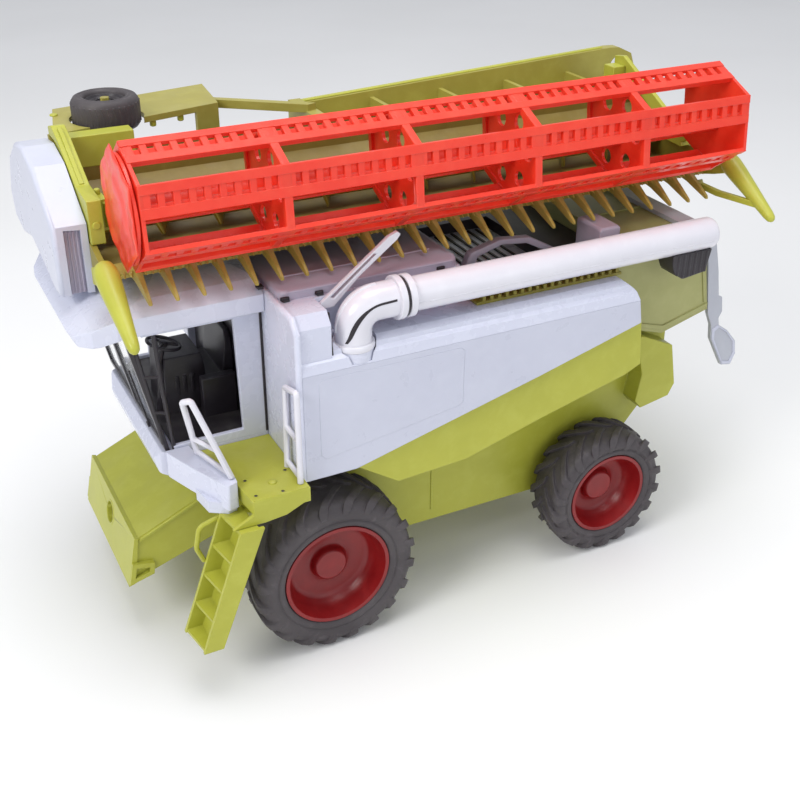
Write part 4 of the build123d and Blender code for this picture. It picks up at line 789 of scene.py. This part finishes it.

# ---------------------------------------------------------------------------
# Body: lid lip and hinge lugs, label places, gap lines of painted shade, hood ridges
# ---------------------------------------------------------------------------
b = Builder()
b.tube([(7.5, 79.2, 215.4), (104.5, 79.2, 215.4)], 0.95, 12)
b.tube([(3.9, 74.0, 215.4), (3.9, -74.0, 215.4)], 0.95, 12)
b.tube([(7.5, -79.2, 215.4), (104.5, -79.2, 215.4)], 0.95, 12)
b.solid([[(12.0, 60.0, 216.3), (100.0, 60.0, 216.3), (100.0, 62.0, 216.3), (12.0, 62.0, 216.3)],
         [(12.4, 60.4, 217.1), (99.6, 60.4, 217.1), (99.6, 61.6, 217.1), (12.4, 61.6, 217.1)]])
b.make("lid_lip", SHADOWED_MAUVE, "machine", bevel=0.15, segments=1, smooth=35)
b = Builder()
for hx in (106.0, 87.0, 15.0):
    b.solid([[(hx - 2.6, 79.5, 211.9), (hx + 2.6, 79.5, 211.9), (hx + 2.0, 82.4, 211.9), (hx - 2.0, 82.4, 211.9)],
             [(hx - 2.6, 79.5, 213.9), (hx + 2.6, 79.5, 213.9), (hx + 1.4, 81.2, 213.5), (hx - 1.4, 81.2, 213.5)]])
    b.tube([(hx - 1.9, 81.2, 213.4), (hx + 1.9, 81.2, 213.4)], 0.9, 10)
b.make("lid_hinges", DARK_AND_SHADE, "machine", bevel=0.2, segments=1, smooth=35)


# bare places of the labels, as faint raised films
b = Builder()
b.prism([(100.0, 131.0), (100.0, 174.5), (97.5, 176.5), (16.0, 176.5), (13.5, 174.5), (13.5, 142.5), (16.0, 140.5), (97.0, 128.0)], "y", 106.9, 107.14)
b.prism([(100.0, 131.0), (100.0, 174.5), (97.5, 176.5), (16.0, 176.5), (13.5, 174.5), (13.5, 142.5), (16.0, 140.5), (97.0, 128.0)], "y", -107.14, -106.9)
b.make("label_places", SHADED_SIDE_WHITE, "machine", bevel=0.05, segments=1, smooth=35)

# dark strip of painted shade in the gap between the cab and the front wall, and its clip
b = Builder()
b.solid([[(112.3, 59.2, 125.0), (113.5, 59.2, 125.0), (113.5, 60.1, 125.0), (112.3, 60.1, 125.0)],
         [(112.3, 59.2, 201.0), (113.5, 59.2, 201.0), (113.5, 60.1, 201.0), (112.3, 60.1, 201.0)]])
b.box(112.2, 115.4, 62.0, 66.5, 214.2, 215.6)
# dark strip of painted shade for the groove beside the auger's column
b.solid([[(89.6, 103.4, 181.0), (90.9, 103.4, 181.0), (90.9, 104.3, 181.0), (89.6, 104.3, 181.0)],
         [(89.6, 98.0, 209.6), (90.9, 98.0, 209.6), (90.9, 99.6, 209.6), (89.6, 99.6, 209.6)]])
b.make("gap_painted_shade_and_clip", DARK_AND_SHADE, "machine", bevel=0.0, smooth=35)

# hood: ridge above its lower edge, joint line on top; ribbed olive strip beside the deck
b = Builder()
for sd in (1, -1):
    b.solid([[(-105.2, sd * 79.6, 152.2), (-105.2, sd * 80.9, 152.4), (-105.2, sd * 80.9, 155.2), (-105.2, sd * 79.6, 155.6)],
             [(-146.5, sd * 79.6, 140.2), (-146.5, sd * 80.9, 140.4), (-146.5, sd * 80.9, 143.2), (-146.5, sd * 79.6, 143.6)],
             [(-180.6, sd * 79.6, 149.4), (-180.6, sd * 80.9, 149.6), (-180.6, sd * 80.9, 152.2), (-180.6, sd * 79.6, 152.6)]])
    b.solid([[(-168.8, sd * 79.6, 200.5), (-168.8, sd * 80.8, 200.5), (-167.4, sd * 80.8, 200.5), (-167.4, sd * 79.6, 200.5)],
             [(-178.6, sd * 79.6, 153.0), (-178.6, sd * 80.8, 153.0), (-177.2, sd * 80.8, 153.0), (-177.2, sd * 79.6, 153.0)]])
b.box(-160.0, -106.0, 40.0, 41.4, 207.7, 208.9)
b.box(-160.0, -106.0, -41.4, -40.0, 207.7, 208.9)
b.make("hood_ridges", HOOD, "machine", bevel=0.2, segments=1, smooth=35)
b = Builder()
for sd in (1, -1):
    b.prism([(-100.0, sd * 79.0), (-2.0, sd * 79.0), (-2.0, sd * 92.0), (-100.0, sd * 92.0)], "z", 191.4, 193.2)
    for k in range(19):
        xc = -7.0 - 5.0 * k
        b.prism([(xc - 1.1, sd * 79.2), (xc + 1.1, sd * 79.2), (xc + 1.1, sd * 91.5), (xc - 1.1, sd * 91.5)], "z", 193.0, 195.4 if k % 3 else 197.0)
b.make("deck_side_ribs", OLIVE, "machine", bevel=0.2, segments=1, smooth=35)
# raised rim round the paddles that end the rear panel's side walls
b = Builder()
PADDLE = [(-192.4, 133.6), (-201.2, 127.6), (-209.6, 118.0), (-211.6, 108.4), (-208.8, 101.3), (-201.2, 102.8), (-188.9, 124.2), (-188.2, 131.0)]
px0 = sum(q[0] for q in PADDLE) / len(PADDLE)
pz0 = sum(q[1] for q in PADDLE) / len(PADDLE)
inside = [(px0 + (q[0] - px0) * 0.80, pz0 + (q[1] - pz0) * 0.86) for q in PADDLE]
for sd in (1, -1):
    for i in range(len(PADDLE)):
        j = (i + 1) % len(PADDLE)
        b.prism([PADDLE[i], PADDLE[j], inside[j], inside[i]], "y", sd * 79.8, sd * 80.6)
b.make("paddle_rims", SHADED_SIDE_WHITE, "machine", bevel=0.2, segments=1, smooth=35)
# machinery shapes down in the deck's well, dark on dark: the dark is painted shade of the well
b = Builder()
b.box(-62.0, -8.0, 52.5, 53.7, 191.6, 198.2)
for k in range(9):
    b.box(-60.0 + 5.9 * k, -58.4 + 5.9 * k, -8.0, 52.0, 191.5, 192.3)
b.tube([(-66.0, 66.0, 194.2), (-6.0, 66.0, 194.2)], 2.4, 16)
b.make("well_ribs_in_painted_shade", DARK_AND_SHADE, "machine", bevel=0.15, segments=1, smooth=35)

# ---------------------------------------------------------------------------
# Cab: black sheet of painted shade on the rear wall, console, wheel, windscreen bars and the side frame
# ---------------------------------------------------------------------------
b = Builder()
b.box(115.4, 116.6, -56.3, 56.3, 124.3, 200.6)                      # black sheet over the rear wall: painted shade of the cab's inside
b.prism([(116.0, -56.2), (160.0, -56.2), (165.4, -50.0), (165.4, 50.0), (160.0, 58.8), (116.0, 58.8)], "z", 124.1, 125.5)
b.solid([[(133.0, -14.0, 125.4), (158.5, -14.0, 125.4), (158.5, 19.0, 125.4), (133.0, 19.0, 125.4)],
         [(133.0, -14.0, 150.0), (157.0, -14.0, 150.0), (157.0, 16.0, 150.0), (133.0, 16.0, 150.0)],
         [(134.2, -13.0, 158.5), (156.0, -13.0, 158.5), (156.0, 15.0, 158.5), (134.2, 15.0, 158.5)]])   # console
for k in range(3):
    b.box(140.0 + 4.4 * k, 142.2 + 4.4 * k, 14.8, 17.6, 135.0, 147.0)
b.solid([[(117.0, -20.0, 136.0), (134.0, -20.0, 136.0), (134.0, 22.0, 136.0), (117.0, 22.0, 136.0)],
         [(117.0, -19.0, 144.0), (133.0, -19.0, 144.0), (133.0, 21.0, 144.0), (117.0, 21.0, 144.0)]])
b.solid([[(117.0, -18.0, 140.0), (124.0, -18.0, 140.0), (124.0, 20.0, 140.0), (117.0, 20.0, 140.0)],
         [(117.0, -17.0, 166.0), (121.0, -17.0, 166.0), (121.0, 19.0, 166.0), (117.0, 19.0, 166.0)],
         [(117.0, -13.0, 170.0), (120.0, -13.0, 170.0), (120.0, 15.0, 170.0), (117.0, 15.0, 170.0)]])
b.box(120.0, 140.0, 26.0, 32.0, 125.4, 150.0)                       # side desk
b.make("cab_inside_black_and_shade", BLACK, "machine", bevel=0.7, segments=2, smooth=35, replaces=("cab_seat",))

b = Builder()
wc = Vector((154.6, 12.5, 167.6))
wn = Vector((-0.30, 0.0, 0.954)).normalized()
e1 = Vector((0.0, 1.0, 0.0))
e2 = wn.cross(e1).normalized()
rim_pts = 40
grid = []
for k in range(rim_pts):
    a = 2 * math.pi * k / rim_pts
    c = wc + (e1 * math.cos(a) + e2 * math.sin(a)) * 9.3
    outw = (e1 * math.cos(a) + e2 * math.sin(a))
    grid.append([b.bm.verts.new(M(*(c + outw * (1.05 * math.cos(t)) + wn * (1.05 * math.sin(t))))) for t in
                 [2 * math.pi * q / 10 for q in range(10)]])
for k in range(rim_pts):
    g, h = grid[k], grid[(k + 1) % rim_pts]
    for q in range(10):
        b.bm.faces.new((g[q], g[(q + 1) % 10], h[(q + 1) % 10], h[q]))
for a in (90, 210, 330):
    a = math.radians(a)
    b.tube([tuple(wc), tuple(wc + (e1 * math.cos(a) + e2 * math.sin(a)) * 9.0)], 0.95, 10)
b.lathe([(0.0, -1.4), (2.6, -1.4), (2.9, 0.4), (2.2, 1.4), (0.0, 1.6)], tuple(wc), tuple(wn), seg=24, closed=False)
b.tube([tuple(wc - wn * 1.0), tuple(wc - wn * 12.0), (157.2, 12.5, 150.0), (160.2, 12.5, 125.2)], 1.9, 14, radii=[1.6, 1.9, 2.3, 2.6])
b.make("steering_gear", BLACK, "machine", bevel=0.0, smooth=40, replaces=("steering_wheel",))

# windscreen frame: the pane plane leans forward towards the roof
FX, FZ, HX, HZ = 168.6, 126.5, 184.0, 199.5
wl = math.hypot(HX - FX, HZ - FZ)
ux, uz = (HX - FX) / wl, (HZ - FZ) / wl
nx_, nz_ = uz, -ux


def on_screen(y, up, out):
    return (FX + ux * up + nx_ * out, y, FZ + uz * up + nz_ * out)


def screen_bar(b, y0, y1, u0, u1, o0, o1):
    b.solid([[on_screen(y0, u0, o0), on_screen(y1, u0, o0), on_screen(y1, u0, o1), on_screen(y0, u0, o1)],
             [on_screen(y0, u1, o0), on_screen(y1, u1, o0), on_screen(y1, u1, o1), on_screen(y0, u1, o1)]])


b = Builder()
screen_bar(b, -58.4, 58.4, 0.0, 4.4, 0.0, 2.5)
screen_bar(b, -58.4, 58.4, wl - 4.2, wl, 0.0, 2.5)
screen_bar(b, -58.4, -54.0, 4.0, wl - 4.0, 0.0, 2.5)
screen_bar(b, 54.0, 58.4, 4.0, wl - 4.0, 0.0, 2.5)
screen_bar(b, -3.0, 3.0, 4.0, wl - 4.0, 0.0, 2.5)
# wiper on the left pane
screen_bar(b, 30.0, 31.2, 3.0, 40.0, 2.3, 3.4)
screen_bar(b, 29.2, 32.0, 2.0, 5.0, 2.3, 4.0)
b.make("screen_bars", BLACK, "machine", bevel=0.4, segments=2, smooth=35, replaces=("windscreen_frame",))
b = Builder()
# side frame behind the windscreen's left pillar: post and two ties
b.tube([(170.8, 58.0, 200.2), (169.2, 58.0, 165.0), (166.0, 58.0, 125.0)], 1.25, 12)
b.tube([(180.5, 57.4, 187.0), (175.6, 57.4, 157.0), (171.6, 57.4, 131.0)], 1.25, 12)
b.tube([(178.0, 57.8, 173.4), (169.6, 57.8, 171.6)], 1.0, 10)
b.tube([(174.4, 57.8, 151.4), (168.2, 57.8, 149.4)], 1.0, 10)
b.make("side_frame", BLACK, "machine", bevel=0.0, smooth=40)

# ---------------------------------------------------------------------------
# Deck, ladder and feeder details
# ---------------------------------------------------------------------------
b = Builder()
# holes drawn as thin dark discs: painted shade inside them
for hx, hy in ((140.9, 99.4), (140.6, 115.1), (126.4, 117.1), (118.0, 99.0)):
    b.lathe([(0.0, 0.0), (0.9, 0.0), (0.9, 0.12), (0.0, 0.12)], (hx, hy, 122.45), (0, 0, 1), seg=18, closed=False)
b.make("deck_hole_painted_shade", DARK_AND_SHADE, "machine", bevel=0.0, smooth=40)
b = Builder()
b.lathe([(0.0, 0.0), (2.5, 0.0), (2.4, 0.7), (1.7, 1.2), (0.0, 1.5)], (128.2, 106.8, 122.3), (0, 0, 1), seg=28, closed=False)
for hx, hy in ((140.9, 99.4), (140.6, 115.1), (126.4, 117.1), (118.0, 99.0)):
    b.lathe([(0.95, 0.0), (1.7, 0.0), (1.6, 0.3), (0.95, 0.3)], (hx, hy, 122.4), (0, 0, 1), seg=20)
# raised edge along one side of the platform
b.box(113.2, 143.2, 119.2, 120.3, 122.3, 123.1)
b.make("deck_bosses", GREEN, "machine", bevel=0.12, segments=1, smooth=40)
b = Builder()
# ledge along both sides of the feeder and rim round its socket
for sd in (1, -1):
    b.solid([[(135.0, sd * 48.3, 90.2), (135.0, sd * 49.5, 90.2), (135.0, sd * 49.5, 92.0), (135.0, sd * 48.3, 92.4)],
             [(151.0, sd * 48.3, 82.6), (151.0, sd * 49.5, 82.6), (151.0, sd * 49.5, 84.4), (151.0, sd * 48.3, 84.8)],
             [(190.0, sd * 48.3, 65.0), (190.0, sd * 49.5, 65.0), (190.0, sd * 49.5, 66.8), (190.0, sd * 48.3, 67.2)]])
fx, fz = 199.2 - (57.0 - 36.6) * 6.6 / 32.0, 57.0
fl = math.hypot(32.0, 6.6)
b.lathe([(6.55, -0.6), (8.0, -0.6), (7.8, 0.25), (6.8, 0.35), (6.55, 0.2)], (fx, 0.0, fz), (32.0 / fl, 0.0, 6.6 / fl), seg=40)
b.make("feeder_ledges", GREEN, "feeder", bevel=0.15, segments=1, smooth=40)

# lower body: upright joint and step under the skirt
b = Builder()
for sd in (1, -1):
    b.prism([(10.4, 44.0), (11.8, 44.0), (11.8, 100.0), (10.4, 100.0)], "y", sd * 67.6, sd * 68.5)
    b.solid([[(52.0, sd * 67.6, 96.0), (52.0, sd * 69.4, 96.0), (52.0, sd * 69.4, 98.0), (52.0, sd * 67.6, 98.4)],
             [(8.0, sd * 67.6, 98.4), (8.0, sd * 69.4, 98.4), (8.0, sd * 69.4, 100.4), (8.0, sd * 67.6, 100.8)],
             [(-38.0, sd * 67.6, 111.4), (-38.0, sd * 69.4, 111.4), (-38.0, sd * 69.4, 113.4), (-38.0, sd * 67.6, 113.8)],
             [(-70.0, sd * 67.6, 120.4), (-70.0, sd * 69.4, 120.4), (-70.0, sd * 69.4, 122.4), (-70.0, sd * 67.6, 122.8)]])
b.make("lower_ridges", GREEN, "machine", bevel=0.2, segments=1, smooth=35)

# ---------------------------------------------------------------------------
# Stage: plain pale floor and soft studio light
# ---------------------------------------------------------------------------
floor_mat = Nodes("floor_mat")
fn = floor_mat.noise(2.2, 4.0, 0.5)
fc = floor_mat.mix(floor_mat.ramp(fn, [(0.3, grey(0)), (0.7, grey(1))]), (0.88, 0.88, 0.878, 1), (0.91, 0.91, 0.91, 1))
fp = floor_mat.add("ShaderNodeBsdfPrincipled")
floor_mat.link(fc, fp.inputs["Base Color"])
fp.inputs["Roughness"].default_value = 0.7
fp.inputs["Specular IOR Level"].default_value = 0.2
floor_mat.link(floor_mat.bump(floor_mat.noise(400.0, 3.0, 0.5), 0.0001, 0.3), fp.inputs["Normal"])
floor_mat.link(fp.outputs[0], floor_mat.out.inputs["Surface"])
me = bpy.data.meshes.new("floor")
bm = bmesh.new()
S = 6.0
vs = [bm.verts.new(p) for p in ((-S, -S, 0), (S, -S, 0), (S, S, 0), (-S, S, 0))]
bm.faces.new(vs)
bm.to_mesh(me)
bm.free()
floor = bpy.data.objects.new("floor", me)
bpy.context.scene.collection.objects.link(floor)
me.materials.append(floor_mat.mat)

world = bpy.data.worlds.new("studio")
bpy.context.scene.world = world
world.use_nodes = True
bg = world.node_tree.nodes["Background"]
bg.inputs["Color"].default_value = (0.93, 0.95, 1.0, 1)
bg.inputs["Strength"].default_value = 0.62


def area(name, where, target, size, power, colour=(1, 1, 1)):
    light = bpy.data.lights.new(name, "AREA")
    light.shape = "DISK"
    light.size = size
    light.energy = power
    light.color = colour
    ob = bpy.data.objects.new(name, light)
    ob.location = where
    ob.rotation_mode = "QUATERNION"
    ob.rotation_quaternion = (Vector(target) - Vector(where)).to_track_quat("-Z", "Y")
    bpy.context.scene.collection.objects.link(ob)
    return ob


area("key", (1.25, 0.50, 1.15), (0, 0, 0.12), 0.7, 10.4, (1.0, 0.99, 0.97))
area("fill", (-0.4, 1.35, 0.65), (0, 0, 0.12), 1.0, 1.9, (0.96, 0.97, 1.0))
area("top", (0.0, 0.1, 1.5), (0, 0, 0.1), 1.0, 10.6, (1, 1, 1))

# ---------------------------------------------------------------------------
# Camera at the photograph's angle
# ---------------------------------------------------------------------------
cam_data = bpy.data.cameras.new("camera")
cam = bpy.data.objects.new("camera", cam_data)
bpy.context.scene.collection.objects.link(cam)
d = Vector((-0.3942, -0.7743, -0.4951)).normalized()
r0 = Vector((-0.8912, 0.4537, 0.0)).normalized()
u0 = r0.cross(d).normalized()
roll = math.radians(0.2387)
right = r0 * math.cos(roll) + u0 * math.sin(roll)
up = u0 * math.cos(roll) - r0 * math.sin(roll)
rot = Matrix((right, up, -d)).transposed()
cam.matrix_world = Matrix.Translation(M(296.14, 584.49, 458.6)) @ rot.to_4x4()
cam_data.sensor_width = 36.0
cam_data.lens = 51.40
cam_data.clip_start = 0.01
cam_data.clip_end = 20.0
bpy.context.scene.camera = cam
bpy.context.scene.view_settings.view_transform = "Standard"
bpy.context.scene.view_settings.look = "None"
